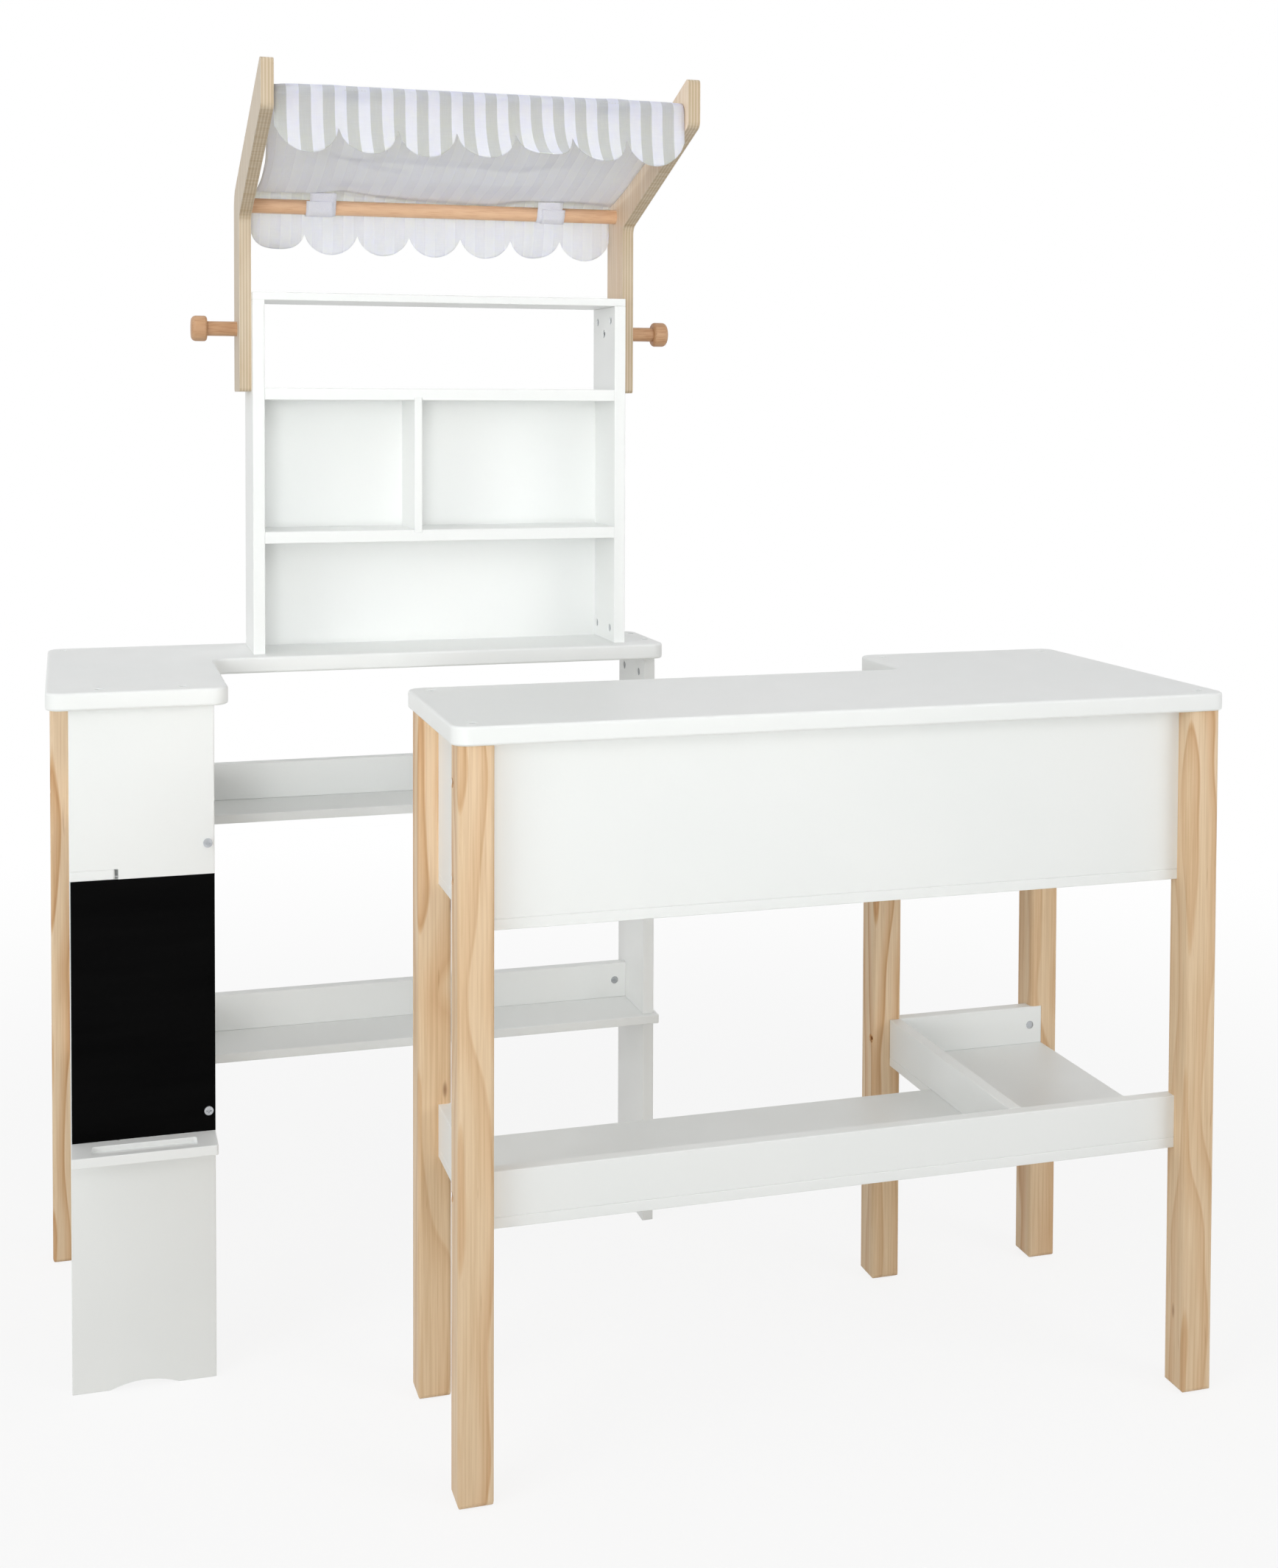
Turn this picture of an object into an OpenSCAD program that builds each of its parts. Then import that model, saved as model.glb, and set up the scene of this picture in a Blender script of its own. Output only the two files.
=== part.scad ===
// Toy market stall: an L-shaped counter standing in front of an L-shaped shelf unit
// with a small hutch and a striped awning. Millimetres, floor at z = 0, customers at -y.
// Origin: on the floor, in the middle of the space that the two units take up together.

/* [Set] */
// Width across both units as they stand
set_w = 1007; // [990:1:1060]
// Depth across both units as they stand
set_d = 578; // [570:1:620]
// Height of both table tops above the floor
table_h = 630; // [615:1:660]

/* [Stock] */
// Thickness of the two table tops
top_t = 16; // [15:1:18]
// Thickness of panels, rails, hutch sides, hutch shelves and awning arms
panel_t = 12; // [11:1:13]
// Thickness of the shelf boards
board_t = 9; // [8:1:10]
// Thickness of the hutch top, divider and back
thin_t = 8; // [7:1:9]
// Side of the square legs
leg_w = 30; // [29:1:32]
// Radius of the legs' long edges
leg_r = 4; // [2:0.5:4.5]
// Radius of the legs' rounded feet
foot_r = 5; // [3:0.5:6]
// Radius of the table tops' corners
corner_r = 14; // [8:1:18]
// Radius of the table tops' rounded rim
rim_r = 2.5; // [1:0.5:4]
// Radius of the eased edges of boards, panels and rails
ease_r = 0.8; // [0.4:0.1:1.2]

/* [Heights] */
// Height of the lower boards' underside as a share of the table height
low_share = 0.345; // [0.3:0.005:0.38]
// Height of the upper boards' underside as a share of the table height
up_share = 0.731; // [0.7:0.001:0.76]
// Height of the rails that stand on the boards
rail_h = 38; // [36:1:44]

/* [Counter] */
// Length of the counter's front
counter_l = 698; // [660:1:720]
// Depth of the counter's long strip
counter_d = 215; // [205:1:230]
// Depth of the counter's wing, strip included
counter_wing_d = 320; // [310:1:340]
// Width of the counter's wing
counter_wing_w = 216; // [205:1:230]
// Overhang of the top past the legs
overhang = 5; // [4:1:8]

/* [Shelf unit] */
// Length of the shelf unit's top
shelf_l = 630; // [622:1:650]
// Depth of the shelf unit's wing, strip included
shelf_d = 318; // [312:1:330]
// Width of the shelf unit's wing
shelf_wing_w = 158; // [154:1:170]
// Depth of the shelf unit's strip
strip_d = 120; // [118:1:126]
// Width of the blackboard panel
front_panel_w = 126; // [120:1:128]
// Setback of the blackboard panel from the wing's front edge
front_panel_y = 13; // [10:1:16]
// Reach of the chalk ledge in front of the blackboard panel
ledge_reach = 36; // [32:1:40]
// Length of the shelf tongues that lock into the blackboard panel
tongue_l = 39; // [34:1:46]

/* [Hutch] */
// Distance from the shelf unit's left end to the hutch
hutch_x = 200; // [190:1:210]
// Width of the hutch
hutch_w = 391; // [380:1:396]
// Depth of the hutch
hutch_d = 84; // [82:1:86]
// Height of the hutch
hutch_h = 366; // [355:1:380]
// Height of the middle shelf's underside above the table
middle_z = 112; // [105:1:118]
// Height of the upper shelf's underside above the table
upper_z = 257.5; // [252:0.5:262]
// Distance from the hutch's left side to the divider
divider_x = 164.5; // [150:0.5:200]

/* [Awning] */
// Width of the arms' upright part
arm_w = 58; // [54:1:60]
// Length of the arms' foot beside the hutch
arm_drop = 100; // [95:1:105]
// Height of the arms' front elbow above the hutch
arm_up = 76; // [70:1:90]
// Reach of the arms in front of their upright part
arm_reach = 220; // [200:1:240]
// Rise of the arms towards the front in degrees
arm_tilt = 19.3; // [17:0.1:22]
// Height of the arms' cut front end
arm_end_h = 47; // [43:1:49]
// Diameter of the two awning dowels
rod_d = 15; // [14:1:16]
// Drop of the front valance below its dowel's centre
front_drop = 52; // [42:1:56]
// Drop of the rear valance below its dowel's centre
rear_drop = 47; // [40:1:50]
// Depth of the scallops
scallop_h = 22; // [16:1:24]
// Number of scallops on each valance
scallops = 7; // [5:1:9]

/* [Hidden] */
$fn = 48;
gap = 0.15;

PAINT = [0.93, 0.94, 0.94];
PINE = [0.88, 0.74, 0.57];
BEECH = [0.84, 0.67, 0.50];
BIRCH = [0.88, 0.82, 0.70];
ZINC = [0.72, 0.73, 0.74];
BLACK = [0.05, 0.05, 0.05];
COTTON = [0.80, 0.81, 0.78];
BAND = [0.92, 0.92, 0.90];

// Levels shared by both units
leg_h = table_h - top_t;
low_z = table_h * low_share;
up_z = table_h * up_share;
low_top = low_z + board_t;
up_top = up_z + board_t;
low_mid = low_top + rail_h / 2;
upper_mid = up_top + rail_h / 2;
// The legs are rebated by one panel thickness at their inner corner
recess = leg_w - panel_t;

// Hardware
bolt_d = 5;
head_d = 8.5;
head_in = 1;
head_h = 3;
nut_d = 8;
nut_l = 8;
nut_in = 13;
bolt_past = 5;
dowel_d = 6;
dowel_l = 20;
arm_dowel_l = 16;
screw_d = 3.5;
screw_head_d = 7;
screw_head_h = 2.5;
screw_l = 28;
panel_screw_l = 34;
panel_screw_head_d = 8;
panel_screw_head_h = 2.2;
leg_bite = 40;
peg_bite = 22;
dowel_set = 8;
rail_dowel_spread = 12;
board_r = 2;

// Counter, measured from the front left corner of its top
wing_x = counter_l - counter_wing_w;
cx0 = overhang + recess;
cx1 = counter_l - overhang - recess;
cy0 = overhang + recess;
cy1 = counter_wing_d - overhang - recess;
cxw = wing_x + overhang + recess;
cys = counter_d - overhang - recess;
panel_h = leg_h - up_top;
panel_mid = up_top + panel_h / 2;
bolt_spread = panel_h * 0.27;
panel_dowel_spread = panel_h * 0.125;
panel_bolt_z = [panel_mid - bolt_spread, panel_mid + bolt_spread];

// Shelf unit, measured from the front left corner of its top
edge = 1.5;
strip_y = shelf_d - strip_d;
sleg_y = shelf_d - edge - leg_w;
sx0 = edge + recess;
sx1 = sx0 + front_panel_w;
py1 = front_panel_y + panel_t;
rail_y = sleg_y;
shelf_y1 = rail_y + panel_t;
shelf_setback = 16;
shelf_y0 = strip_y + shelf_setback;
side_inset = 4;
side_x1 = shelf_l - side_inset;
side_x0 = side_x1 - panel_t;
side_setback = 8;
side_y0 = shelf_y0 + side_setback;
side_y1 = shelf_d - edge;
lap_l = 33;
lap_y = shelf_y0 + lap_l;
tongue_x = sx0 + tongue_l;
slot_play = 3;
slot_x = tongue_x + slot_play;
panel_cx = (sx0 + sx1) / 2;
side_cy = (side_y0 + side_y1) / 2;
panel_nut_in = 19;
panel_nut_z = leg_h - panel_nut_in;
ledge_y = front_panel_y - ledge_reach;
groove_l = 91;
groove_w = 19;
groove_in = 15.5;
groove_deep = 4.5;
groove_r = 3;
side_spread = 27;
panel_spread = 36;
arch_w = 61;
arch_h = 6;
arch_r = (arch_w * arch_w / 4 + arch_h * arch_h) / (2 * arch_h);

// Hutch and awning
hutch_back_shift = 2;
hutch_spread = 25;
hutch_cy = strip_y + strip_d / 2 + hutch_back_shift;
hutch_y0 = hutch_cy - hutch_d / 2;
hutch_y1 = hutch_cy + hutch_d / 2;
hutch_x1 = hutch_x + hutch_w;
hutch_z1 = table_h + hutch_h;
side_h = hutch_h - thin_t;
middle_bottom = table_h + middle_z;
upper_bottom = table_h + upper_z;
housing = 3;
hutch_nut_in = 14.5;
arm_y0 = hutch_cy - arm_w / 2;
arm_y1 = hutch_cy + arm_w / 2;
arm_z0 = hutch_z1 - arm_drop;
elbow_z = hutch_z1 + arm_up;
arm_front = arm_y0 - arm_reach;
peg_down = 36;
peg_z = hutch_z1 - peg_down;
arm_dowel_spread = 15;
arm_dowel_up = 24;
rod_in = 7;
rod_setback = 20;
front_rod_low = 2;
rear_rod_up = 1;
arm_foot_r = 4;
arm_back_r = 22;
arm_tip_r = 5;
arm_nose_r = 8;
arm_elbow_r = 10;
front_rod_y = arm_front + rod_setback;
rear_rod_y = hutch_cy;
front_rod_z = arm_mid(front_rod_y) - front_rod_low;
rear_rod_z = arm_mid(rear_rod_y) + rear_rod_up;
cloth_off = 1.6;
cloth_in = rod_d / 2 + cloth_off;
cloth_t = 2;
cloth_side = 4;
cloth_x0 = hutch_x + cloth_side;
cloth_w = hutch_w - 2 * cloth_side;
cloth_sag = 6;
cloth_tilt = atan2(front_rod_z - rear_rod_z, rear_rod_y - front_rod_y);
scallop_w = cloth_w / scallops;
scallop_r = (scallop_w * scallop_w / 4 + scallop_h * scallop_h) / (2 * scallop_h);
band_w = 30;
band_in = 0.2;
band_t = 1;
band_side = 60;
band_x = [hutch_x + band_side, hutch_x + hutch_w - band_side - band_w];

// Directions for fasteners that are drawn along +z
TO_RIGHT = [0, 90, 0];
TO_LEFT = [0, -90, 0];
TO_BACK = [-90, 0, 0];
TO_FRONT = [90, 0, 0];
DOWN = [180, 0, 0];
UP = [0, 0, 0];

// Height of the middle of the awning arms at depth y
function arm_mid(y) = elbow_z + (arm_y0 - y) * tan(arm_tilt) + arm_end_h / 2;
function unit(v) = v / norm(v);
function cross2(a, b) = a[0] * b[1] - a[1] * b[0];

module at_counter() {
    translate([set_w / 2 - counter_l, -set_d / 2, 0]) children();
}

module at_shelf() {
    translate([-set_w / 2, set_d / 2 - shelf_d, 0]) children();
}

// Wedge between the corner p of a polygon and an arc of radius r that touches both its edges
module corner_wedge(a, p, b, r) {
    u = unit(a - p);
    v = unit(b - p);
    half = acos(u * v) / 2;
    c = p + unit(u + v) * r / sin(half);
    difference() {
        polygon([p + (p - c) * 0.1, p + u * r / tan(half), c, p + v * r / tan(half)]);
        translate(c) circle(r);
    }
}

// Polygon, anticlockwise, with corner i rounded to radii[i]
module rounded(points, radii) {
    n = len(points);
    turn = [for (i = [0:n - 1])
        cross2(points[i] - points[(i + n - 1) % n], points[(i + 1) % n] - points[i])];
    difference() {
        union() {
            polygon(points);
            for (i = [0:n - 1]) if (radii[i] > 0 && turn[i] < 0)
                corner_wedge(points[(i + n - 1) % n], points[i], points[(i + 1) % n], radii[i]);
        }
        for (i = [0:n - 1]) if (radii[i] > 0 && turn[i] > 0)
            corner_wedge(points[(i + n - 1) % n], points[i], points[(i + 1) % n], radii[i]);
    }
}

module rounded_rect(w, h, r) {
    rounded([[0, 0], [w, 0], [w, h], [0, h]], [r, r, r, r]);
}

module box(x0, x1, y0, y1, z0, z1) {
    translate([x0, y0, z0]) cube([x1 - x0, y1 - y0, z1 - z0]);
}

// Box with eased edges
module eased_box(x0, x1, y0, y1, z0, z1) {
    w = x1 - x0;
    d = y1 - y0;
    h = z1 - z0;
    translate([x0, y0, z0]) intersection() {
        translate([0, 0, -1]) linear_extrude(h + 2) rounded_rect(w, d, ease_r);
        translate([0, d + 1, 0]) rotate([90, 0, 0]) linear_extrude(d + 2) rounded_rect(w, h, ease_r);
        translate([-1, 0, 0]) rotate([90, 0, 90]) linear_extrude(w + 2) rounded_rect(d, h, ease_r);
    }
}

// Plate with square outline corners rounded to r and its rim rounded to e: a core, a bar along each side,
// a disc in each outer corner, and in each inner corner a block hollowed out to radius r
module eased_plate(points, r, e, z, t) {
    n = len(points);
    along = [for (i = [0:n - 1]) unit(points[(i + 1) % n] - points[i])];
    inward = [for (u = along) [-u[1], u[0]]];
    core = [for (i = [0:n - 1]) points[i] + r * (inward[(i + n - 1) % n] + inward[i])];
    translate([0, 0, z]) {
        linear_extrude(t) polygon(core);
        for (i = [0:n - 1]) {
            before = (i + n - 1) % n;
            side = norm(points[(i + 1) % n] - points[i]);
            translate(points[i]) rotate(atan2(along[i][1], along[i][0])) translate([r, 0, 0])
                rotate([90, 0, 90]) linear_extrude(side - 2 * r)
                    rounded([[0, 0], [r, 0], [r, t], [0, t]], [e, 0, 0, e]);
            if (cross2(along[before], along[i]) > 0)
                translate(core[i]) rotate_extrude() rounded([[0, 0], [r, 0], [r, t], [0, t]], [0, e, e, 0]);
            else difference() {
                translate([points[i][0] - r, points[i][1] - r, 0]) cube([2 * r, 2 * r, t]);
                translate(2 * points[i] - core[i]) rotate_extrude() difference() {
                    translate([0, -1]) square([r + e, t + 2]);
                    rounded([[r, 0], [r + e + 1, 0], [r + e + 1, t], [r, t]], [e, 0, 0, e]);
                }
            }
        }
    }
}

// Fasteners are lists of [position, direction, length]
module place(f) {
    translate(f[0]) rotate(f[1]) children();
}

module bolt(l) {
    difference() {
        union() {
            translate([0, 0, head_in]) cylinder(d = head_d, h = head_h);
            translate([0, 0, head_in + head_h]) cylinder(d = bolt_d, h = l - head_in - head_h);
        }
        translate([0, 0, head_in - 1]) cylinder(d = 4.5, h = 3, $fn = 6);
    }
}

module bolt_hole(l) {
    translate([0, 0, -1]) cylinder(d = head_d + 2 * gap, h = head_in + head_h + 1);
    cylinder(d = bolt_d + 2 * gap, h = l + 0.5);
}

module bolts(list) {
    color(ZINC) for (f = list) place(f) bolt(f[2]);
}

module bolt_holes(list) {
    for (f = list) place(f) bolt_hole(f[2]);
}

// Barrel nut, sunk 1 mm below the face it is pushed into, with its thread across it
module barrel_nut(turn) {
    difference() {
        translate([0, 0, 1]) cylinder(d = nut_d, h = nut_l);
        translate([0, 0, panel_t / 2]) rotate([0, 90, turn])
            cylinder(d = bolt_d + 2 * gap, h = 2 * nut_d, center = true);
        translate([-nut_d, -0.6, 0]) cube([2 * nut_d, 1.2, 1.6]);
    }
}

module nuts(list) {
    color(ZINC) for (f = list) place(f) barrel_nut(f[2]);
}

module nut_holes(list) {
    for (f = list) place(f) translate([0, 0, -1]) cylinder(d = nut_d + 2 * gap, h = nut_l + 2 + gap);
}

module dowels(list) {
    color(BEECH) for (f = list) place(f) cylinder(d = dowel_d, h = f[2], center = true);
}

module dowel_holes(list) {
    for (f = list) place(f) cylinder(d = dowel_d + 2 * gap, h = f[2] + 0.6, center = true);
}

// Screw whose head is sunk flush with the face
module sunk_screw(l) {
    difference() {
        union() {
            cylinder(d = screw_head_d, h = screw_head_h);
            cylinder(d = screw_d, h = l);
        }
        for (a = [0, 90]) rotate(a) translate([-2.2, -0.5, -1]) cube([4.4, 1, 2.4]);
    }
}

module sunk_screws(list) {
    color(ZINC) for (f = list) place(f) sunk_screw(f[2]);
}

module screw_holes(list) {
    for (f = list) place(f) {
        translate([0, 0, -1]) cylinder(d = screw_head_d + 2 * gap, h = screw_head_h + 1 + gap);
        cylinder(d = screw_d + 2 * gap, h = f[2] + 0.5);
    }
}

// Counter joints. Rails along x run into both legs and are bolted through them;
// rails along y butt against those and are dowelled.
function counter_outer(side, wing) = side < 0 ? counter_l - overhang : (wing ? wing_x : 0) + overhang;
function counter_rail_cy(wing) = wing ? cy1 - panel_t / 2 : cy0 + panel_t / 2;
function counter_bolt_list(side, wing) = [
    for (z = concat([low_mid], panel_bolt_z))
        [[counter_outer(side, wing), counter_rail_cy(wing), z],
            side > 0 ? TO_RIGHT : TO_LEFT, recess + nut_in + bolt_past]
];
function counter_nut_list(wing) = [
    for (side = [1, -1]) for (z = concat([low_mid], panel_bolt_z))
        [[counter_outer(side, wing) + side * (recess + nut_in), wing ? cy1 - panel_t : cy0 + panel_t, z],
            wing ? TO_BACK : TO_FRONT, 0]
];
cross_bolts = [for (wing = [false, true]) for (side = [1, -1]) each counter_bolt_list(side, wing)];
cross_nuts = concat(counter_nut_list(false), counter_nut_list(true));
dowel_z = [
    low_mid - rail_dowel_spread, low_mid + rail_dowel_spread,
    panel_mid - panel_dowel_spread, panel_mid + panel_dowel_spread
];
// A dowel reaches dowel_set into one piece and the rest of its length into the other
dowel_shift = dowel_l / 2 - dowel_set;
function y_dowels(x, front, back) = [
    for (z = dowel_z) for (y = [front + dowel_shift, back - dowel_shift]) [[x, y, z], TO_BACK, dowel_l]
];
end_dowels = y_dowels(cx0 + panel_t / 2, cy0 + panel_t, cys);
wing_dowels = y_dowels(cxw + panel_t / 2, cy0 + panel_t, cy1 - panel_t);
rail_screw_xy = concat(
    [for (k = [0.15, 0.4, 0.85]) [cx0 + k * (cx1 - cx0), cy0 + panel_t / 2]],
    [[cx0 + panel_t / 2, (cy0 + cys) / 2], [cxw + panel_t / 2, (cy0 + cy1) / 2],
        [(cxw + cx1) / 2, cy1 - panel_t / 2]]
);
counter_screw_list = [for (z = [low_z, up_z]) for (p = rail_screw_xy) [[p[0], p[1], z], UP, screw_l]];

// Legs as [corner x, corner y, inner side in x, inner side in y]
LEG_FL = [overhang, overhang, 1, 1];
LEG_BL = [overhang, counter_d - overhang - leg_w, 1, 0];
LEG_FR = [counter_l - overhang - leg_w, overhang, 0, 1];
LEG_WL = [wing_x + overhang, counter_wing_d - overhang - leg_w, 1, 0];
LEG_WR = [counter_l - overhang - leg_w, counter_wing_d - overhang - leg_w, 0, 0];
LEG_S = [edge, sleg_y, 1, 0];
// The bolt through the top stands a little away from the leg's rebate
function leg_bolt(g) = [
    [g[0] + leg_w / 2 + (g[2] ? -1 : 1), g[1] + leg_w / 2 + (g[3] ? -1 : 1), table_h],
    DOWN, top_t + leg_bite
];
counter_top_bolt_list = [for (g = [LEG_FL, LEG_BL, LEG_FR, LEG_WL, LEG_WR]) leg_bolt(g)];

// Square bar with rounded long edges and a rounded foot
module leg_bar() {
    side_outline = [[0, 0], [leg_w, 0], [leg_w, leg_h + leg_w], [0, leg_h + leg_w]];
    foot = [foot_r, foot_r, 0, 0];
    intersection() {
        linear_extrude(leg_h) rounded_rect(leg_w, leg_w, leg_r);
        translate([0, leg_w + 1, 0]) rotate([90, 0, 0])
            linear_extrude(leg_w + 2) rounded(side_outline, foot);
        translate([-1, 0, 0]) rotate([90, 0, 90]) linear_extrude(leg_w + 2) rounded(side_outline, foot);
    }
}

// Leg with its inner corner cut back where boards and rails run in
module leg(g, cuts) {
    x0 = g[0] + (g[2] ? recess : -1);
    y0 = g[1] + (g[3] ? recess : -1);
    color(PINE) difference() {
        translate([g[0], g[1], 0]) leg_bar();
        for (c = cuts) translate([x0, y0, c[0]]) cube([panel_t + 1, panel_t + 1, c[1] - c[0]]);
        bolt_holes([leg_bolt(g)]);
        children();
    }
}
COUNTER_CUTS = [[low_z, low_top + rail_h], [up_z, leg_h + 1]];
SHELF_CUTS = [[low_z, low_top + rail_h], [up_z, up_top + rail_h]];

module l_top(l, d, wing_at_right, wing_w, deep, bolts_down) {
    r = corner_r;
    points = wing_at_right
        ? [[0, 0], [l, 0], [l, deep], [l - wing_w, deep], [l - wing_w, d], [0, d]]
        : [[0, 0], [wing_w, 0], [wing_w, deep - d], [l, deep - d], [l, deep], [0, deep]];
    color(PAINT) difference() {
        eased_plate(points, r, rim_r, leg_h, top_t);
        bolt_holes(bolts_down);
        children();
    }
}

module counter_top() {
    at_counter() l_top(counter_l, counter_d, true, counter_wing_w, counter_wing_d, counter_top_bolt_list);
}

module leg_front_left() {
    at_counter() leg(LEG_FL, COUNTER_CUTS) bolt_holes(counter_bolt_list(1, false));
}

module leg_back_left() {
    at_counter() leg(LEG_BL, COUNTER_CUTS) dowel_holes(end_dowels);
}

module leg_front_right() {
    at_counter() leg(LEG_FR, COUNTER_CUTS) bolt_holes(counter_bolt_list(-1, false));
}

module leg_wing_left() {
    at_counter() leg(LEG_WL, COUNTER_CUTS) bolt_holes(counter_bolt_list(1, true));
}

module leg_wing_right() {
    at_counter() leg(LEG_WR, COUNTER_CUTS) bolt_holes(counter_bolt_list(-1, true));
}

// Counter rail or panel between heights z0 and z1, with all holes that reach it
module counter_rail(x0, x1, y0, y1, z0, z1, wing) {
    along_x = x1 - x0 > y1 - y0;
    color(PAINT) difference() {
        eased_box(x0, x1, y0, y1, z0, z1);
        dowel_holes(concat(end_dowels, wing_dowels));
        screw_holes(counter_screw_list);
        if (along_x) {
            bolt_holes(concat(counter_bolt_list(1, wing), counter_bolt_list(-1, wing)));
            nut_holes(counter_nut_list(wing));
        }
    }
}

module counter_front_panel() {
    at_counter() counter_rail(cx0, cx1, cy0, cy0 + panel_t, up_top, leg_h, false);
}

module counter_end_panel() {
    at_counter() counter_rail(cx0, cx0 + panel_t, cy0 + panel_t, cys, up_top, leg_h, false);
}

module counter_wing_panel() {
    at_counter() counter_rail(cxw, cxw + panel_t, cy0 + panel_t, cy1 - panel_t, up_top, leg_h, true);
}

module counter_back_panel() {
    at_counter() counter_rail(cxw, cx1, cy1 - panel_t, cy1, up_top, leg_h, true);
}

module tray_front_rail() {
    at_counter() counter_rail(cx0, cx1, cy0, cy0 + panel_t, low_top, low_top + rail_h, false);
}

module tray_end_rail() {
    at_counter() counter_rail(cx0, cx0 + panel_t, cy0 + panel_t, cys, low_top, low_top + rail_h, false);
}

module tray_wing_rail() {
    at_counter()
        counter_rail(cxw, cxw + panel_t, cy0 + panel_t, cy1 - panel_t, low_top, low_top + rail_h, true);
}

module tray_back_rail() {
    at_counter() counter_rail(cxw, cx1, cy1 - panel_t, cy1, low_top, low_top + rail_h, true);
}

module counter_l_board(z) {
    at_counter() color(PAINT) difference() {
        eased_plate([[cx0, cy0], [cx1, cy0], [cx1, cy1], [cxw, cy1], [cxw, cys], [cx0, cys]],
            board_r, ease_r, z, board_t);
        screw_holes(counter_screw_list);
    }
}

module counter_board() {
    counter_l_board(up_z);
}

module tray_board() {
    counter_l_board(low_z);
}

module counter_top_bolts() {
    at_counter() bolts(counter_top_bolt_list);
}

module counter_rail_bolts() {
    at_counter() bolts(cross_bolts);
}

module counter_barrel_nuts() {
    at_counter() nuts(cross_nuts);
}

module counter_dowels() {
    at_counter() dowels(concat(end_dowels, wing_dowels));
}

module counter_screws() {
    at_counter() sunk_screws(counter_screw_list);
}

// Shelf unit joints
side_bolt_y = [side_cy - side_spread, side_cy + side_spread];
panel_bolt_x = [panel_cx - panel_spread, panel_cx + panel_spread];
panel_bolt_l = leg_h + top_t - panel_nut_z + bolt_past;
shelf_top_bolt_list = concat(
    [leg_bolt(LEG_S)],
    [for (x = panel_bolt_x) [[x, front_panel_y + panel_t / 2, table_h], DOWN, panel_bolt_l]],
    [for (y = side_bolt_y) [[side_x0 + panel_t / 2, y, table_h], DOWN, panel_bolt_l]]
);
leg_bolts = [for (z = [low_mid, upper_mid])
    [[edge, rail_y + panel_t / 2, z], TO_RIGHT, recess + nut_in + bolt_past]];
side_bolts = [for (z = [low_mid, upper_mid])
    [[side_x1, rail_y + panel_t / 2, z], TO_LEFT, panel_t + nut_in + bolt_past]];
rail_nuts = [for (z = [low_mid, upper_mid]) for (x = [sx0 + nut_in, side_x0 - nut_in])
    [[x, rail_y, z], TO_BACK, 0]];
panel_nuts = [for (x = panel_bolt_x) [[x, py1, panel_nut_z], TO_FRONT, 90]];
side_nuts = [for (y = side_bolt_y) [[side_x0, y, panel_nut_z], TO_RIGHT, 0]];
hutch_fix_y = [hutch_cy - hutch_spread, hutch_cy + hutch_spread];
hutch_side_cx = [hutch_x + panel_t / 2, hutch_x1 - panel_t / 2];
foot_bolts = [for (x = hutch_side_cx) for (y = hutch_fix_y)
    [[x, y, leg_h], UP, top_t + hutch_nut_in + bolt_past]];
roof_bolts = [for (x = hutch_side_cx) for (y = hutch_fix_y)
    [[x, y, hutch_z1], DOWN, thin_t + hutch_nut_in + bolt_past]];
hutch_nuts = [for (z = [table_h + hutch_nut_in, hutch_z1 - thin_t - hutch_nut_in]) for (y = hutch_fix_y)
    each [[[hutch_x + panel_t, y, z], TO_LEFT, 0], [[hutch_x1 - panel_t, y, z], TO_RIGHT, 0]]];
shelf_dowel_z = [for (m = [low_mid, upper_mid]) each [m - rail_dowel_spread, m + rail_dowel_spread]];
left_rail_dowels = [for (z = shelf_dowel_z) for (y = [py1 + dowel_shift, rail_y - dowel_shift])
    [[sx0 + panel_t / 2, y, z], TO_BACK, dowel_l]];
inner_rail_dowels = [for (z = shelf_dowel_z)
    [[sx1 - panel_t / 2, rail_y - dowel_shift, z], TO_BACK, dowel_l]];
hutch_dowels = [for (z = [middle_bottom, upper_bottom]) for (y = hutch_fix_y)
    each [[[hutch_x + panel_t + dowel_shift, y, z + panel_t / 2], TO_RIGHT, dowel_l],
        [[hutch_x1 - panel_t - dowel_shift, y, z + panel_t / 2], TO_RIGHT, dowel_l]]];
arm_dowels = [for (x = [hutch_x, hutch_x1])
    for (y = [hutch_cy - arm_dowel_spread, hutch_cy + arm_dowel_spread])
    [[x, y, arm_z0 + arm_dowel_up], TO_RIGHT, arm_dowel_l]];
all_shelf_dowels = concat(left_rail_dowels, inner_rail_dowels, hutch_dowels, arm_dowels);
shelf_rail_xy = concat(
    [for (k = [0.3, 0.55, 0.8]) [sx0 + k * (side_x0 - sx0), rail_y + panel_t / 2]],
    [[sx0 + panel_t / 2, (py1 + rail_y) / 2], [sx1 - panel_t / 2, (py1 + rail_y) / 2]]
);
shelf_screw_list = [for (z = [low_z, up_z]) for (p = shelf_rail_xy) [[p[0], p[1], z], UP, screw_l]];
panel_screw_list = [for (z = [low_mid, upper_mid])
    [[sx1 - panel_t / 2, front_panel_y, z], TO_BACK, panel_screw_l]];
peg_screw_l = 2 * panel_t + peg_bite;
peg_screw_list = [
    [[hutch_x + panel_t, hutch_cy, peg_z], TO_LEFT, peg_screw_l],
    [[hutch_x1 - panel_t, hutch_cy, peg_z], TO_RIGHT, peg_screw_l]
];

module shelf_top() {
    at_shelf() l_top(shelf_l, strip_d, false, shelf_wing_w, shelf_d, shelf_top_bolt_list)
        bolt_holes(foot_bolts);
}

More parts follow.
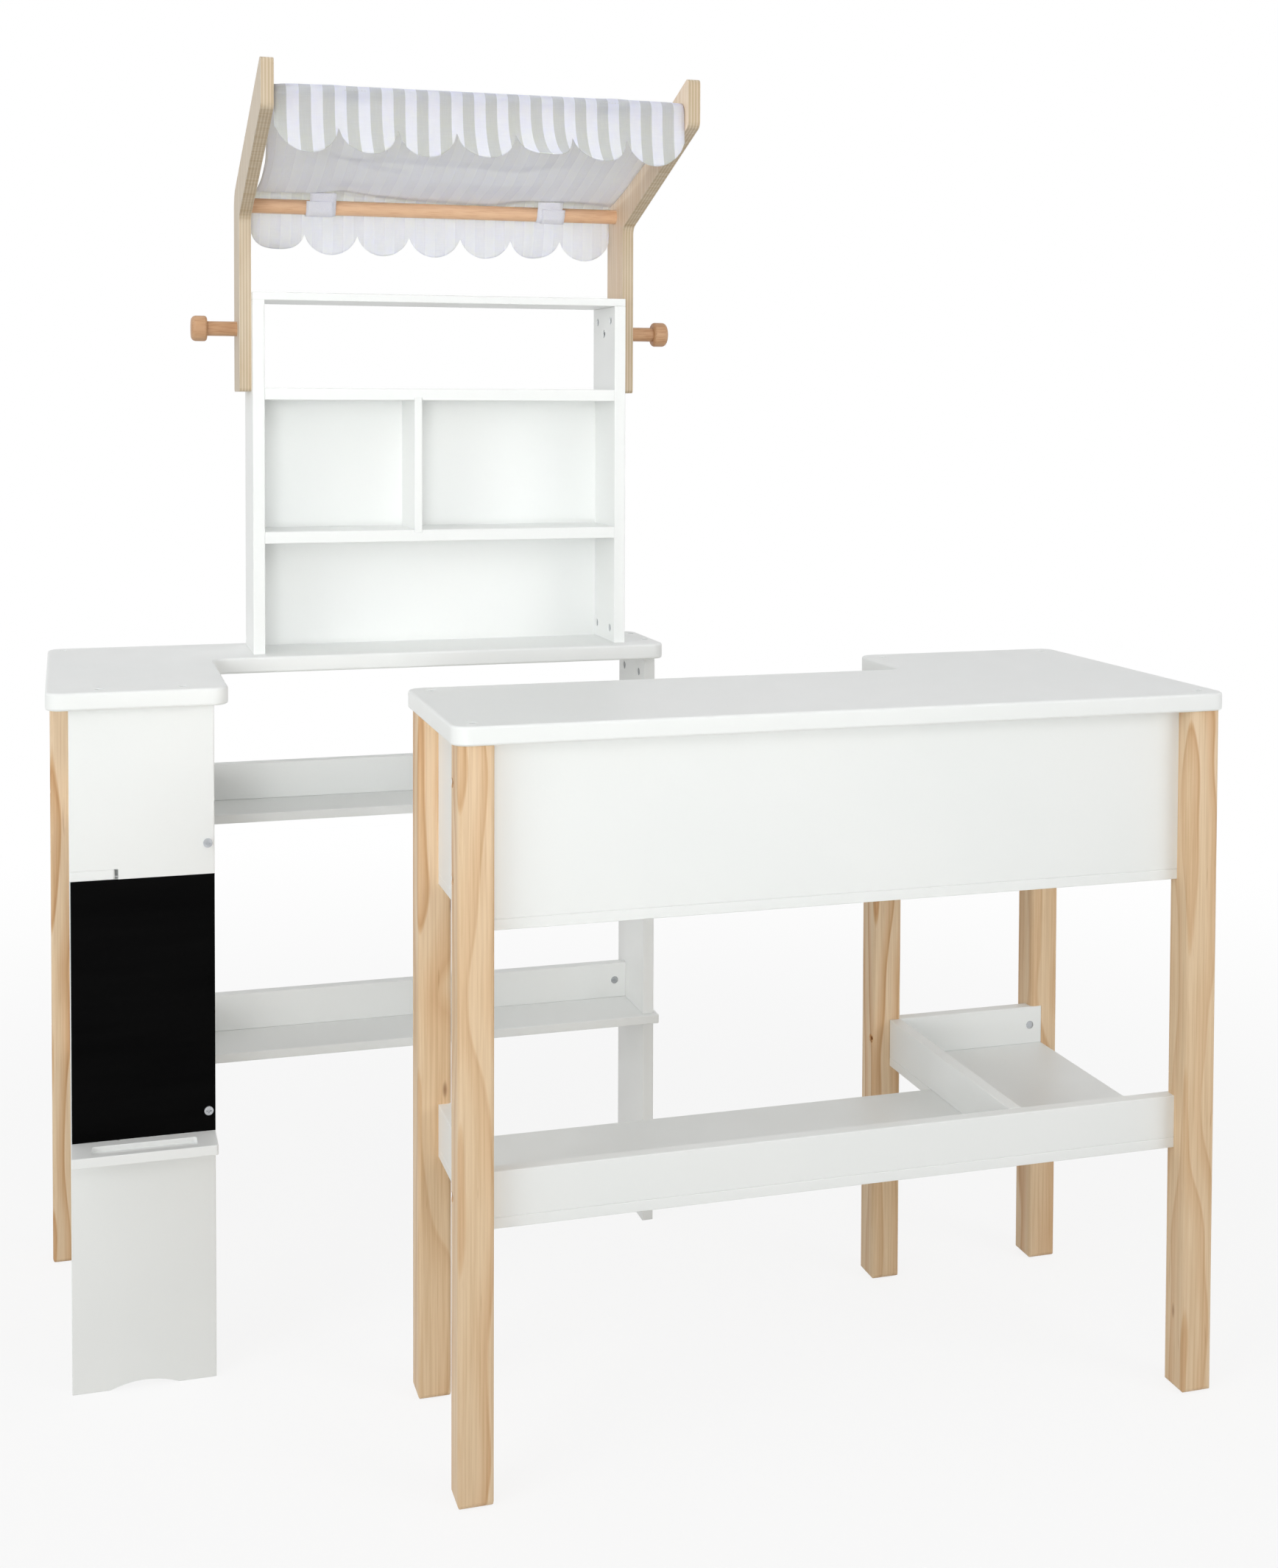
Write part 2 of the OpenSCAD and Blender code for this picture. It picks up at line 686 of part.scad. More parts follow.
// Front panel: slots for the shelf tongues, a shallow seat for the blackboard, an arched foot
module blackboard_panel() {
    at_shelf() color(PAINT) difference() {
        eased_box(sx0, sx1, front_panel_y, py1, 0, leg_h);
        for (z = [low_z, up_z])
            box(sx0 - 1, slot_x, front_panel_y - 1, py1 + 1, z - gap, z + board_t + gap);
        box(sx0 - 1, sx1 + 1, front_panel_y - 1, front_panel_y + 1, low_top, up_z);
        translate([panel_cx, py1 + 1, arch_h - arch_r]) rotate([90, 0, 0])
            cylinder(r = arch_r, h = panel_t + 2, $fn = 96);
        bolt_holes(shelf_top_bolt_list);
        nut_holes(panel_nuts);
        dowel_holes(left_rail_dowels);
        for (f = panel_screw_list) place(f) cylinder(d = screw_d + 2 * gap, h = panel_t + 1);
    }
}

module blackboard() {
    at_shelf() color(BLACK) difference() {
        box(sx0 + 1, sx1, front_panel_y, front_panel_y + 1, low_top + gap, up_z - gap);
        for (f = panel_screw_list) place(f) translate([0, 0, -1]) cylinder(d = screw_d + 2 * gap, h = 4);
    }
}

module shelf_leg() {
    at_shelf() leg(LEG_S, SHELF_CUTS) bolt_holes(leg_bolts);
}

// End panel, notched at its front edge for the shelves
module side_panel() {
    at_shelf() color(PAINT) difference() {
        eased_box(side_x0, side_x1, side_y0, side_y1, 0, leg_h);
        for (z = [low_z, up_z])
            box(side_x0 - 1, side_x1 + 1, side_y0 - 1, lap_y + board_r + gap, z - gap, z + board_t + gap);
        bolt_holes(concat(shelf_top_bolt_list, side_bolts));
        nut_holes(side_nuts);
    }
}

// Part of the shelves' outline that both share, from the blackboard panel's right edge round to the leg
function shelf_rest() = [
    [tongue_x, py1 + gap], [sx1, py1 + gap], [sx1, shelf_y0], [shelf_l, shelf_y0], [shelf_l, lap_y],
    [side_x0, lap_y], [side_x0, shelf_y1], [sx0, shelf_y1]
];

module upper_shelf() {
    at_shelf() color(PAINT) difference() {
        eased_plate(concat([[sx0, front_panel_y], [tongue_x, front_panel_y]], shelf_rest()),
            board_r, ease_r, up_z, board_t);
        screw_holes(shelf_screw_list);
    }
}

// The lower shelf runs on through the panel and widens into the chalk ledge
module lower_shelf() {
    at_shelf() color(PAINT) difference() {
        eased_plate(concat([[sx0, ledge_y], [sx1, ledge_y], [sx1, front_panel_y - gap],
            [tongue_x, front_panel_y - gap]], shelf_rest()), board_r, ease_r, low_z, board_t);
        screw_holes(shelf_screw_list);
        translate([panel_cx - groove_l / 2, ledge_y + groove_in - groove_w / 2, low_top - groove_deep])
            linear_extrude(board_t) rounded_rect(groove_l, groove_w, groove_r);
    }
}

module shelf_rail(x0, x1, y0, y1, z) {
    at_shelf() color(PAINT) difference() {
        eased_box(x0, x1, y0, y1, z, z + rail_h);
        dowel_holes(concat(left_rail_dowels, inner_rail_dowels));
        screw_holes(shelf_screw_list);
        for (f = panel_screw_list) place(f) cylinder(d = screw_d + 2 * gap, h = f[2] + 0.5);
        bolt_holes(concat(leg_bolts, side_bolts));
        nut_holes(rail_nuts);
    }
}

module upper_back_rail() {
    shelf_rail(sx0, side_x0, rail_y, shelf_y1, up_top);
}

module upper_left_rail() {
    shelf_rail(sx0, sx0 + panel_t, py1, rail_y, up_top);
}

module upper_inner_rail() {
    shelf_rail(sx1 - panel_t, sx1, py1, rail_y, up_top);
}

module lower_back_rail() {
    shelf_rail(sx0, side_x0, rail_y, shelf_y1, low_top);
}

module lower_left_rail() {
    shelf_rail(sx0, sx0 + panel_t, py1, rail_y, low_top);
}

module lower_inner_rail() {
    shelf_rail(sx1 - panel_t, sx1, py1, rail_y, low_top);
}

module shelf_top_bolts() {
    at_shelf() bolts(shelf_top_bolt_list);
}

module shelf_rail_bolts() {
    at_shelf() bolts(concat(leg_bolts, side_bolts));
}

module shelf_barrel_nuts() {
    at_shelf() nuts(concat(rail_nuts, panel_nuts, side_nuts, hutch_nuts));
}

module shelf_dowels() {
    at_shelf() dowels(all_shelf_dowels);
}

module shelf_screws() {
    at_shelf() sunk_screws(shelf_screw_list);
}

// Round-headed cross screws that stand on the panel's face
module panel_screws() {
    at_shelf() color(ZINC) for (f = panel_screw_list) place(f) difference() {
        union() {
            translate([0, 0, -panel_screw_head_h]) cylinder(d = panel_screw_head_d, h = panel_screw_head_h);
            cylinder(d = screw_d, h = f[2]);
        }
        for (a = [0, 90]) rotate(a) translate([-2.4, -0.6, -3]) cube([4.8, 1.2, 2.2]);
    }
}

// Hutch side with its inner face at inner_x; the back sits in a rebate of that face
module hutch_side(x0, inner_x) {
    rebate_x = inner_x > x0 ? inner_x - housing : x0 - 1;
    at_shelf() color(PAINT) difference() {
        eased_box(x0, x0 + panel_t, hutch_y0, hutch_y1, table_h, table_h + side_h);
        box(rebate_x, rebate_x + housing + 1, hutch_y1 - thin_t, hutch_y1 + 1, table_h - 1, upper_bottom);
        bolt_holes(concat(foot_bolts, roof_bolts, peg_screw_list));
        nut_holes(hutch_nuts);
        dowel_holes(concat(hutch_dowels, arm_dowels));
    }
}

module hutch_left_side() {
    hutch_side(hutch_x, hutch_x + panel_t);
}

module hutch_right_side() {
    hutch_side(hutch_x1 - panel_t, hutch_x1 - panel_t);
}

module hutch_top() {
    at_shelf() color(PAINT) difference() {
        eased_box(hutch_x, hutch_x1, hutch_y0, hutch_y1, hutch_z1 - thin_t, hutch_z1);
        bolt_holes(roof_bolts);
    }
}

// Hutch shelf with a groove for the divider in its upper or lower face
module hutch_shelf(z, depth, groove_z) {
    x = hutch_x + divider_x;
    at_shelf() color(PAINT) difference() {
        eased_box(hutch_x + panel_t, hutch_x1 - panel_t, hutch_y0, hutch_y0 + depth, z, z + panel_t);
        box(x - gap, x + thin_t + gap, hutch_y0 - 1, hutch_y1 - thin_t + gap,
            groove_z, groove_z + housing + 1);
        dowel_holes(hutch_dowels);
    }
}

module hutch_upper_shelf() {
    hutch_shelf(upper_bottom, hutch_d, upper_bottom - 1);
}

module hutch_middle_shelf() {
    hutch_shelf(middle_bottom, hutch_d - thin_t, middle_bottom + panel_t - housing);
}

module hutch_divider() {
    x = hutch_x + divider_x;
    at_shelf() color(PAINT) eased_box(x, x + thin_t, hutch_y0, hutch_y1 - thin_t,
        middle_bottom + panel_t - housing, upper_bottom + housing);
}

module hutch_back() {
    at_shelf() color(PAINT) box(hutch_x + panel_t - housing, hutch_x1 - panel_t + housing,
        hutch_y1 - thin_t, hutch_y1, table_h, upper_bottom);
}

module hutch_bolts() {
    at_shelf() bolts(concat(foot_bolts, roof_bolts));
}

// Awning arm: upright beside the hutch, then rising towards the front; outline in y and z
module arm(x0) {
    low = tan(arm_tilt) * arm_reach;
    back_top = arm_end_h - arm_w * tan(arm_tilt);
    outline = [
        [arm_y0, arm_z0], [arm_y1, arm_z0], [arm_y1, elbow_z + back_top],
        [arm_front, elbow_z + low + arm_end_h], [arm_front, elbow_z + low], [arm_y0, elbow_z]
    ];
    seat = x0 < hutch_x ? x0 + panel_t - rod_in : x0 - 1;
    at_shelf() color(BIRCH) difference() {
        translate([x0, 0, 0]) rotate([90, 0, 90]) linear_extrude(panel_t)
            rounded(outline, [arm_foot_r, arm_foot_r, arm_back_r, arm_tip_r, arm_nose_r, arm_elbow_r]);
        for (r = [[front_rod_y, front_rod_z], [rear_rod_y, rear_rod_z]])
            translate([seat, r[0], r[1]]) rotate(TO_RIGHT) cylinder(d = rod_d + 2 * gap, h = rod_in + 1);
        bolt_holes(peg_screw_list);
        dowel_holes(arm_dowels);
    }
}

module left_arm() {
    arm(hutch_x - panel_t);
}

module right_arm() {
    arm(hutch_x1);
}

module rod(y, z) {
    at_shelf() color(BEECH) translate([hutch_x - rod_in + 0.5, y, z]) rotate(TO_RIGHT)
        cylinder(d = rod_d, h = hutch_w + 2 * rod_in - 1);
}

module front_dowel() {
    rod(front_rod_y, front_rod_z);
}

module rear_dowel() {
    rod(rear_rod_y, rear_rod_z);
}

// One face of the cloth in y and z: up the front valance, over the front dowel, down to a crease
// that sags between the dowels, over the rear dowel and down the rear valance. r is the face's distance
// from the dowels' axes.
function over_rod(c, r, from, to) = [for (k = [0:6]) c + r * [cos(from + (to - from) * k / 6),
    sin(from + (to - from) * k / 6)]];
function cloth_face(r) = let (
    front = [front_rod_y, front_rod_z],
    rear = [rear_rod_y, rear_rod_z],
    crest = 90 - cloth_tilt,
    crease = (front * 0.4 + rear * 0.6) + r * [cos(crest), sin(crest)] + [0, -cloth_sag]
) concat(
    [front + [-r, -front_drop]],
    over_rod(front, r, 180, crest),
    [crease],
    over_rod(rear, r, crest, 0),
    [rear + [r, -rear_drop]]
);
function backwards(v) = [for (i = [len(v) - 1:-1:0]) v[i]];

// Everything below the scallops of a valance, from y0 to y1, with its lowest points at z
module scallop_waste(y0, y1, z) {
    difference() {
        box(cloth_x0 - 2, cloth_x0 + cloth_w + 2, y0, y1, z - 4, z + scallop_h);
        for (i = [0:scallops - 1])
            translate([cloth_x0 + (i + 0.5) * scallop_w, y0 - 1, z + scallop_r]) rotate(TO_BACK)
                cylinder(r = scallop_r, h = y1 - y0 + 2);
    }
}

module awning() {
    outer = cloth_in + cloth_t;
    at_shelf() color(COTTON) difference() {
        translate([cloth_x0, 0, 0]) rotate([90, 0, 90]) linear_extrude(cloth_w)
            polygon(concat(cloth_face(cloth_in), backwards(cloth_face(outer))));
        scallop_waste(front_rod_y - outer - 2, front_rod_y - cloth_in + 2, front_rod_z - front_drop);
        scallop_waste(rear_rod_y + cloth_in - 2, rear_rod_y + outer + 2, rear_rod_z - rear_drop);
    }
}

// Hook-and-loop bands that hold the cloth to the dowels
module awning_straps() {
    at_shelf() color(BAND) for (r = [[front_rod_y, front_rod_z], [rear_rod_y, rear_rod_z]]) for (x = band_x)
        translate([x, r[0], r[1]]) rotate(TO_RIGHT) difference() {
            cylinder(r = rod_d / 2 + band_in + band_t, h = band_w);
            translate([0, 0, -1]) cylinder(r = rod_d / 2 + band_in, h = band_w + 2);
        }
}

// Turned hanging peg along +z: shaft, then a round cap
module peg() {
    shaft_r = 7.5;
    shaft_l = 30;
    cap_r = 13;
    cap_l = 16;
    color(BEECH) difference() {
        union() {
            cylinder(r = shaft_r, h = shaft_l + 1);
            translate([0, 0, shaft_l]) rotate_extrude()
                rounded([[0, 0], [cap_r, 0], [cap_r, cap_l], [0, cap_l]], [0, 3, 5, 0]);
        }
        translate([0, 0, -1]) cylinder(d = bolt_d + 2 * gap, h = peg_screw_l - 2 * panel_t + 1.5);
    }
}

module left_peg() {
    at_shelf() translate([hutch_x - panel_t, hutch_cy, peg_z]) rotate(TO_LEFT) peg();
}

module right_peg() {
    at_shelf() translate([hutch_x1 + panel_t, hutch_cy, peg_z]) rotate(TO_RIGHT) peg();
}

module peg_screws() {
    at_shelf() bolts(peg_screw_list);
}

counter_top();
leg_front_left();
leg_back_left();
leg_front_right();
leg_wing_left();
leg_wing_right();
counter_front_panel();
counter_end_panel();
counter_wing_panel();
counter_back_panel();
counter_board();
tray_board();
tray_front_rail();
tray_end_rail();
tray_wing_rail();
tray_back_rail();
counter_top_bolts();
counter_rail_bolts();
counter_barrel_nuts();
counter_dowels();
counter_screws();
shelf_top();
blackboard_panel();
blackboard();
shelf_leg();
side_panel();
upper_shelf();
lower_shelf();
upper_back_rail();
upper_left_rail();
upper_inner_rail();
lower_back_rail();
lower_left_rail();
lower_inner_rail();
shelf_top_bolts();
shelf_rail_bolts();
shelf_barrel_nuts();
shelf_dowels();
shelf_screws();
panel_screws();
hutch_left_side();
hutch_right_side();
hutch_top();
hutch_upper_shelf();
hutch_middle_shelf();
hutch_divider();
hutch_back();
hutch_bolts();
left_arm();
right_arm();
front_dowel();
rear_dowel();
awning();
awning_straps();
left_peg();
right_peg();
peg_screws();
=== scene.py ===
# %% [markdown]
# # A toy market stall
# A child's market stall of painted board and pine: a counter in front, and a shelf unit with a small
# hutch and a striped cotton awning behind it. Its boards, legs and bolts come from an exact model, which
# is loaded here as a fixed frame. This lesson gives each of those pieces its finish, and makes the soft
# ones, the awning with its bands and thread, as new surfaces. Loading first is the safest order: every
# later step can measure the pieces where they stand.

# %% Load the frame
import math

import bpy
import numpy as np
from mathutils import Matrix, Vector


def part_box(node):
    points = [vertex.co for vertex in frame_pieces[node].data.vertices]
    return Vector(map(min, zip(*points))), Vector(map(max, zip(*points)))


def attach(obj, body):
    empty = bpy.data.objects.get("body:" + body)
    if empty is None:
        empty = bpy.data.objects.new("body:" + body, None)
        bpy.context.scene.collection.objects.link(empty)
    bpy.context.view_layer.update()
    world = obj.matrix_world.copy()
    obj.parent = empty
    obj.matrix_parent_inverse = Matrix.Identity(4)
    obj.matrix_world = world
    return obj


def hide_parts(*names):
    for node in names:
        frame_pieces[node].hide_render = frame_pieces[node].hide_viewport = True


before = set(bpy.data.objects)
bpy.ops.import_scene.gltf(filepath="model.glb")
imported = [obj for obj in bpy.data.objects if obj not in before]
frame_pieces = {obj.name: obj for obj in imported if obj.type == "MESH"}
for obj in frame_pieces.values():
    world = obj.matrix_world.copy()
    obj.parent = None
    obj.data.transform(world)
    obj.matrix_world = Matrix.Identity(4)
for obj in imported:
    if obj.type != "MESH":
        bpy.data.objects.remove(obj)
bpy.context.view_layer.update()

# %% [markdown]
# ## Camera
# The picture was taken from the front left, at about the height of the hutch, with a long lens. A camera
# could be placed by eye, but a stall is all straight edges, so a small error shows at once. Here the
# place and turn were worked out from the corners of the boards, and are written down as a position, three
# angles and the pixel that the lens looks at. Only the shift moves that pixel off the middle of the frame.

# %% Camera at the picture's viewpoint
PICTURE_W, PICTURE_H = 1736, 2130
FOCAL_PIXELS = 2563.8
LOOKS_AT_PIXEL = (829.7, 636.9)
STANDS_AT = (-0.4847, -1.7355, 0.881)
yaw, pitch, roll = np.radians([16.12, -1.87, 0.17])

ahead = np.array([math.sin(yaw) * math.cos(pitch), math.cos(yaw) * math.cos(pitch), math.sin(pitch)])
level = np.array([math.cos(yaw), -math.sin(yaw), 0.0])
upward = np.cross(level, ahead)
right = level * math.cos(roll) + upward * math.sin(roll)
top = upward * math.cos(roll) - level * math.sin(roll)

lens = bpy.data.cameras.new("front_left_camera")
lens.sensor_width = 36.0
lens.lens = FOCAL_PIXELS * lens.sensor_width / PICTURE_H
lens.shift_x = (PICTURE_W / 2 - LOOKS_AT_PIXEL[0]) / PICTURE_H
lens.shift_y = (LOOKS_AT_PIXEL[1] - PICTURE_H / 2) / PICTURE_H
lens.clip_start, lens.clip_end = 0.02, 60.0
camera = bpy.data.objects.new("front_left_camera", lens)
turn = Matrix(np.column_stack([right, top, -ahead]).tolist()).to_4x4()
camera.matrix_world = Matrix.Translation(STANDS_AT) @ turn
bpy.context.scene.collection.objects.link(camera)
bpy.context.scene.camera = camera
print("lens", round(lens.lens, 2), "mm, shift", round(lens.shift_x, 3), round(lens.shift_y, 3))

# %% [markdown]
# ## Building blocks for shaders
# Every finish below is a small graph of nodes that starts from a point on the piece and ends in colour,
# roughness and bump. Such a graph could be laid out by hand in the shader editor. In a script it stays
# readable if one short helper makes a node, sets its choices and plugs in its inputs in a single line.

# %% Helpers that make and join shader nodes
def linear(red, green, blue):
    """A screen colour from 0 to 255 as the linear numbers shaders take: ((c + 0.055) / 1.055) ** 2.4."""
    share = np.array([red, green, blue]) / 255
    return (*(((share + 0.055) / 1.055) ** 2.4).tolist(), 1.0)


def plug(tree, node, inputs):
    """Links or sets a node's inputs: a socket is linked, and anything else is set as the input's value."""
    for key, value in inputs.items():
        if isinstance(value, bpy.types.NodeSocket):
            tree.links.new(value, node.inputs[key])
        else:
            node.inputs[key].default_value = value


def put(tree, kind, inputs=(), **choices):
    """Adds a shader node, sets its choices, and plugs in its inputs by name, by number or in their order."""
    made = tree.nodes.new("ShaderNode" + kind)
    for name, value in choices.items():
        setattr(made, name, value)
    plug(tree, made, inputs if isinstance(inputs, dict) else dict(enumerate(inputs)))
    return made


def reckon(tree, operation, *values):
    """One sum on numbers: the named operation of a Math node on the given values."""
    return put(tree, "Math", values, operation=operation).outputs[0]


def start_finish(name):
    """A new material, its node tree, its Principled shader and a point in the piece's own metres."""
    made = bpy.data.materials.new(name)
    made.use_nodes = True
    tree = made.node_tree
    point = put(tree, "TexCoord").outputs["Object"]
    return made, tree, tree.nodes["Principled BSDF"], point


print("node helpers ready")

# %% Helpers for noise, tones, gloss and bump
NOISE_LOW, NOISE_HIGH = 0.3, 0.7


def spots(tree, point, stretch, detail=2.0, roughness=0.5):
    """Soft noise from 0 to 1 at a point whose axes are first multiplied by stretch, in lumps per metre."""
    place = put(tree, "Mapping", {"Vector": point, "Scale": stretch}).outputs[0]
    given = {"Vector": place, "Scale": 1.0, "Detail": detail, "Roughness": roughness}
    return put(tree, "TexNoise", given).outputs["Fac"]


def between(tree, value, low, high, out_low=0.0, out_high=1.0):
    """Moves a number from the span low..high to the span out_low..out_high, smoothly and clamped."""
    given = {"Value": value, "From Min": low, "From Max": high, "To Min": out_low, "To Max": out_high}
    return put(tree, "MapRange", given, interpolation_type="SMOOTHSTEP").outputs["Result"]


def colours(tree, value, *stops):
    """A row of colours: each stop is a place from 0 to 1 and a colour, with straight blends between."""
    made = put(tree, "ValToRGB", {"Fac": value})
    row = made.color_ramp.elements
    row[0].position, row[0].color = stops[0]
    row[1].position, row[1].color = stops[-1]
    for place, colour in stops[1:-1]:
        row.new(place).color = colour
    return made.outputs["Color"]


def tones(tree, noise, darker, lighter, start=NOISE_LOW, end=NOISE_HIGH):
    """Two screen colours blended by a noise: the darker up to its start value, the lighter from its end."""
    return colours(tree, noise, (start, linear(*darker)), (end, linear(*lighter)))


def mixed(tree, share, one, other, how="MIX"):
    """The first colour with a share of the other laid over it."""
    made = put(tree, "Mix", {0: share, 6: one, 7: other}, data_type="RGBA", blend_type=how)
    return made.outputs[2]


def gloss(tree, noise, at_low, at_high):
    """Roughness that follows a noise, from one level where it is low to another where it is high."""
    return between(tree, noise, NOISE_LOW, NOISE_HIGH, at_low, at_high)


def bumped(tree, height, metres, strength, over=None):
    """Bump: the normal of a surface that rises by height times metres, over another normal if given."""
    given = {"Height": height, "Distance": metres, "Strength": strength}
    if over is not None:
        given["Normal"] = over
    return put(tree, "Bump", given).outputs["Normal"]


print("noise from", NOISE_LOW, "to", NOISE_HIGH, "carries the tones")

# %% [markdown]
# ## Floor, backdrop and light
# The stall stands on a plain white studio floor. A lit white sheet would do, but it is hard to get even,
# so the floor shows the eye mostly plain white and keeps a share of its true, shaded colour: that share
# carries the soft shadow under the feet. What the floor throws back at the stall is a calmer pale grey.
# The lamps are soft panels to the left and right of the camera and overhead, and two narrow ones: one
# reaches into the hutch, and the other, the lit backdrop, shines through the awning. Their level keeps
# white paint just under full white.

# %% Smooth surfaces from points
def smooth_object(name, points, faces, finish):
    """A smooth mesh object in the scene, from points (of any grid, 3 numbers each) and lists of corners."""
    mesh = bpy.data.meshes.new(name)
    mesh.from_pydata(points.reshape(-1, 3).tolist(), [], faces)
    mesh.polygons.foreach_set("use_smooth", np.ones(len(faces), dtype=bool))
    mesh.materials.append(finish)
    made = bpy.data.objects.new(name, mesh)
    bpy.context.scene.collection.objects.link(made)
    return made


def surface(name, points, finish, uv=None):
    """A mesh object from a grid of points (rows, columns, 3), with an optional UV grid in metres.

    Points are numbered row by row, and each face joins (i, j), (i, j+1), (i+1, j+1) and (i+1, j).
    """
    rows, columns = points.shape[:2]
    corner = np.arange(rows * columns).reshape(rows, columns)
    faces = np.stack([corner[:-1, :-1], corner[:-1, 1:], corner[1:, 1:], corner[1:, :-1]], axis=-1)
    made = smooth_object(name, points, faces.reshape(-1, 4).tolist(), finish)
    if uv is not None:
        layer = made.data.uv_layers.new(name="UVMap")
        layer.data.foreach_set("uv", uv.reshape(-1, 2)[faces.reshape(-1)].astype(np.float32).reshape(-1))
    return made


print("surface helpers ready")

# %% Studio floor
FLOOR_HALF, FLOOR_POINTS = 9.0, 13
FLOOR_DROP = 0.0004
SHADE_NEAR, SHADE_FAR = 0.6, 2.2
WHITE_BY_THE_FEET = 0.84
PAPER_CLOUDS = (3, 3, 3)
THROWN_BACK = (0.71, 0.705, 0.68, 1.0)
PLAIN_WHITE = (1.0, 1.0, 1.0, 1.0)


def seen_directly(tree):
    """1 for rays that show the background to the eye, in a mirror or through glass, and 0 for light."""
    path = put(tree, "LightPath").outputs
    shown = reckon(tree, "MAXIMUM", path["Is Camera Ray"], path["Is Glossy Ray"])
    return reckon(tree, "MAXIMUM", shown, path["Is Transmission Ray"])


studio_floor, tree, shader, point = start_finish("studio_floor")
tree.nodes.remove(shader)
distance = put(tree, "VectorMath", {0: point}, operation="LENGTH").outputs["Value"]
far_white = between(tree, distance, SHADE_NEAR, SHADE_FAR, WHITE_BY_THE_FEET, 1.0)
white_share = reckon(tree, "MULTIPLY", far_white, seen_directly(tree))
paper = tones(tree, spots(tree, point, PAPER_CLOUDS), (240, 240, 240), (243, 243, 243))
floor_colour = mixed(tree, seen_directly(tree), THROWN_BACK, paper)
matt = put(tree, "BsdfDiffuse", {"Color": floor_colour}).outputs[0]
plain = put(tree, "Emission", {"Color": PLAIN_WHITE, "Strength": 1.0}).outputs[0]
both = put(tree, "MixShader", (white_share, matt, plain)).outputs[0]
plug(tree, tree.nodes["Material Output"], {"Surface": both})
places = np.linspace(-FLOOR_HALF, FLOOR_HALF, FLOOR_POINTS)
floor_x, floor_y = np.meshgrid(places, places)
floor_points = np.stack([floor_x, floor_y, np.full_like(floor_x, -FLOOR_DROP)], axis=-1)
floor = surface("studio_floor", floor_points, studio_floor)
print("floor", 2 * FLOOR_HALF, "m across")

# %% World and lamps
AMBIENT = 0.505
COOL, BLUISH = (0.985, 1.0, 0.995), (0.80, 0.87, 1.0)
HALF_TURN = math.pi
world = bpy.data.worlds.new("studio")
world.use_nodes = True
bpy.context.scene.world = world
tree = world.node_tree
strength = between(tree, seen_directly(tree), 0.0, 1.0, AMBIENT, 1.0)
plug(tree, tree.nodes["Background"], {"Color": PLAIN_WHITE, "Strength": strength})


def lamp(name, stands_at, looks_at, size, watts, colour, spread=HALF_TURN):
    """A square soft panel of light at one point that faces another, and the angle that it spreads over."""
    light = bpy.data.lights.new(name, "AREA")
    light.shape, light.size, light.energy, light.color = "SQUARE", size, watts, colour
    light.spread = spread
    made = bpy.data.objects.new(name, light)
    facing = (Vector(looks_at) - Vector(stands_at)).to_track_quat("-Z", "Y").to_matrix().to_4x4()
    made.matrix_world = Matrix.Translation(stands_at) @ facing
    bpy.context.scene.collection.objects.link(made)
    return made


lamp("left_panel_light", (-2.9, -1.95, 1.35), (0.0, 0.0, 0.8), 1.6, 25.5, COOL)
lamp("right_panel_light", (2.4, -2.8, 1.5), (0.0, 0.0, 0.7), 1.8, 27.5, COOL)
lamp("top_panel_light", (-1.5, -0.9, 2.5), (-0.2, -0.1, 0.6), 1.5, 8.0, COOL)
lamp("hutch_light", (-1.0, -3.3, 0.95), (-0.1, 0.15, 1.0), 1.2, 1.4, COOL, 0.45)
backdrop_lamp = lamp("backdrop_light", (-0.1, 3.0, 1.25), (-0.1, 0.2, 1.13), 0.8, 0.72, BLUISH, 0.35)
backdrop_lamp.visible_camera = backdrop_lamp.visible_glossy = False
bpy.context.scene.view_settings.view_transform = "Standard"
print("ambient", AMBIENT, "with five lamps")

# %% [markdown]
# ## White paint
# The boards are sprayed with a satin white lacquer: nearly even, with the very faint orange peel of a
# sprayed coat and cloudy patches that shine a little more or less. A plain white shader would look like
# plastic. Noise at three sizes gives the cloud in the colour, the change in gloss and the peel.

# %% White paint
CLOUDS, SATIN_PATCHES, PEEL = (5, 5, 5), (38, 38, 38), (620, 620, 620)
PEEL_HEIGHT = 0.00006
white_paint, tree, shader, point = start_finish("white_paint")
cloud = spots(tree, point, CLOUDS, detail=3)
patch = spots(tree, point, SATIN_PATCHES, detail=3)
peel = spots(tree, point, PEEL, detail=1.5)
plug(tree, shader, {
    "Base Color": tones(tree, cloud, (246, 248, 247), (249, 250, 249)),
    "Roughness": gloss(tree, patch, 0.36, 0.46),
    "Normal": bumped(tree, peel, PEEL_HEIGHT, 0.5),
})
print("made", white_paint.name)

# %% [markdown]
# ## Pine
# The legs are clear-lacquered pine, sawn along the trunk, so yearly rings run up the faces as wide pale
# and orange bands that bend slowly, with fine fibres between them and a small knot here and there. An
# image could be wrapped round each leg, but it would not meet at the corners. A solid pattern does: the
# distance across the trunk, bent by slow noise, is cut into rings, and every face shows its own slice.

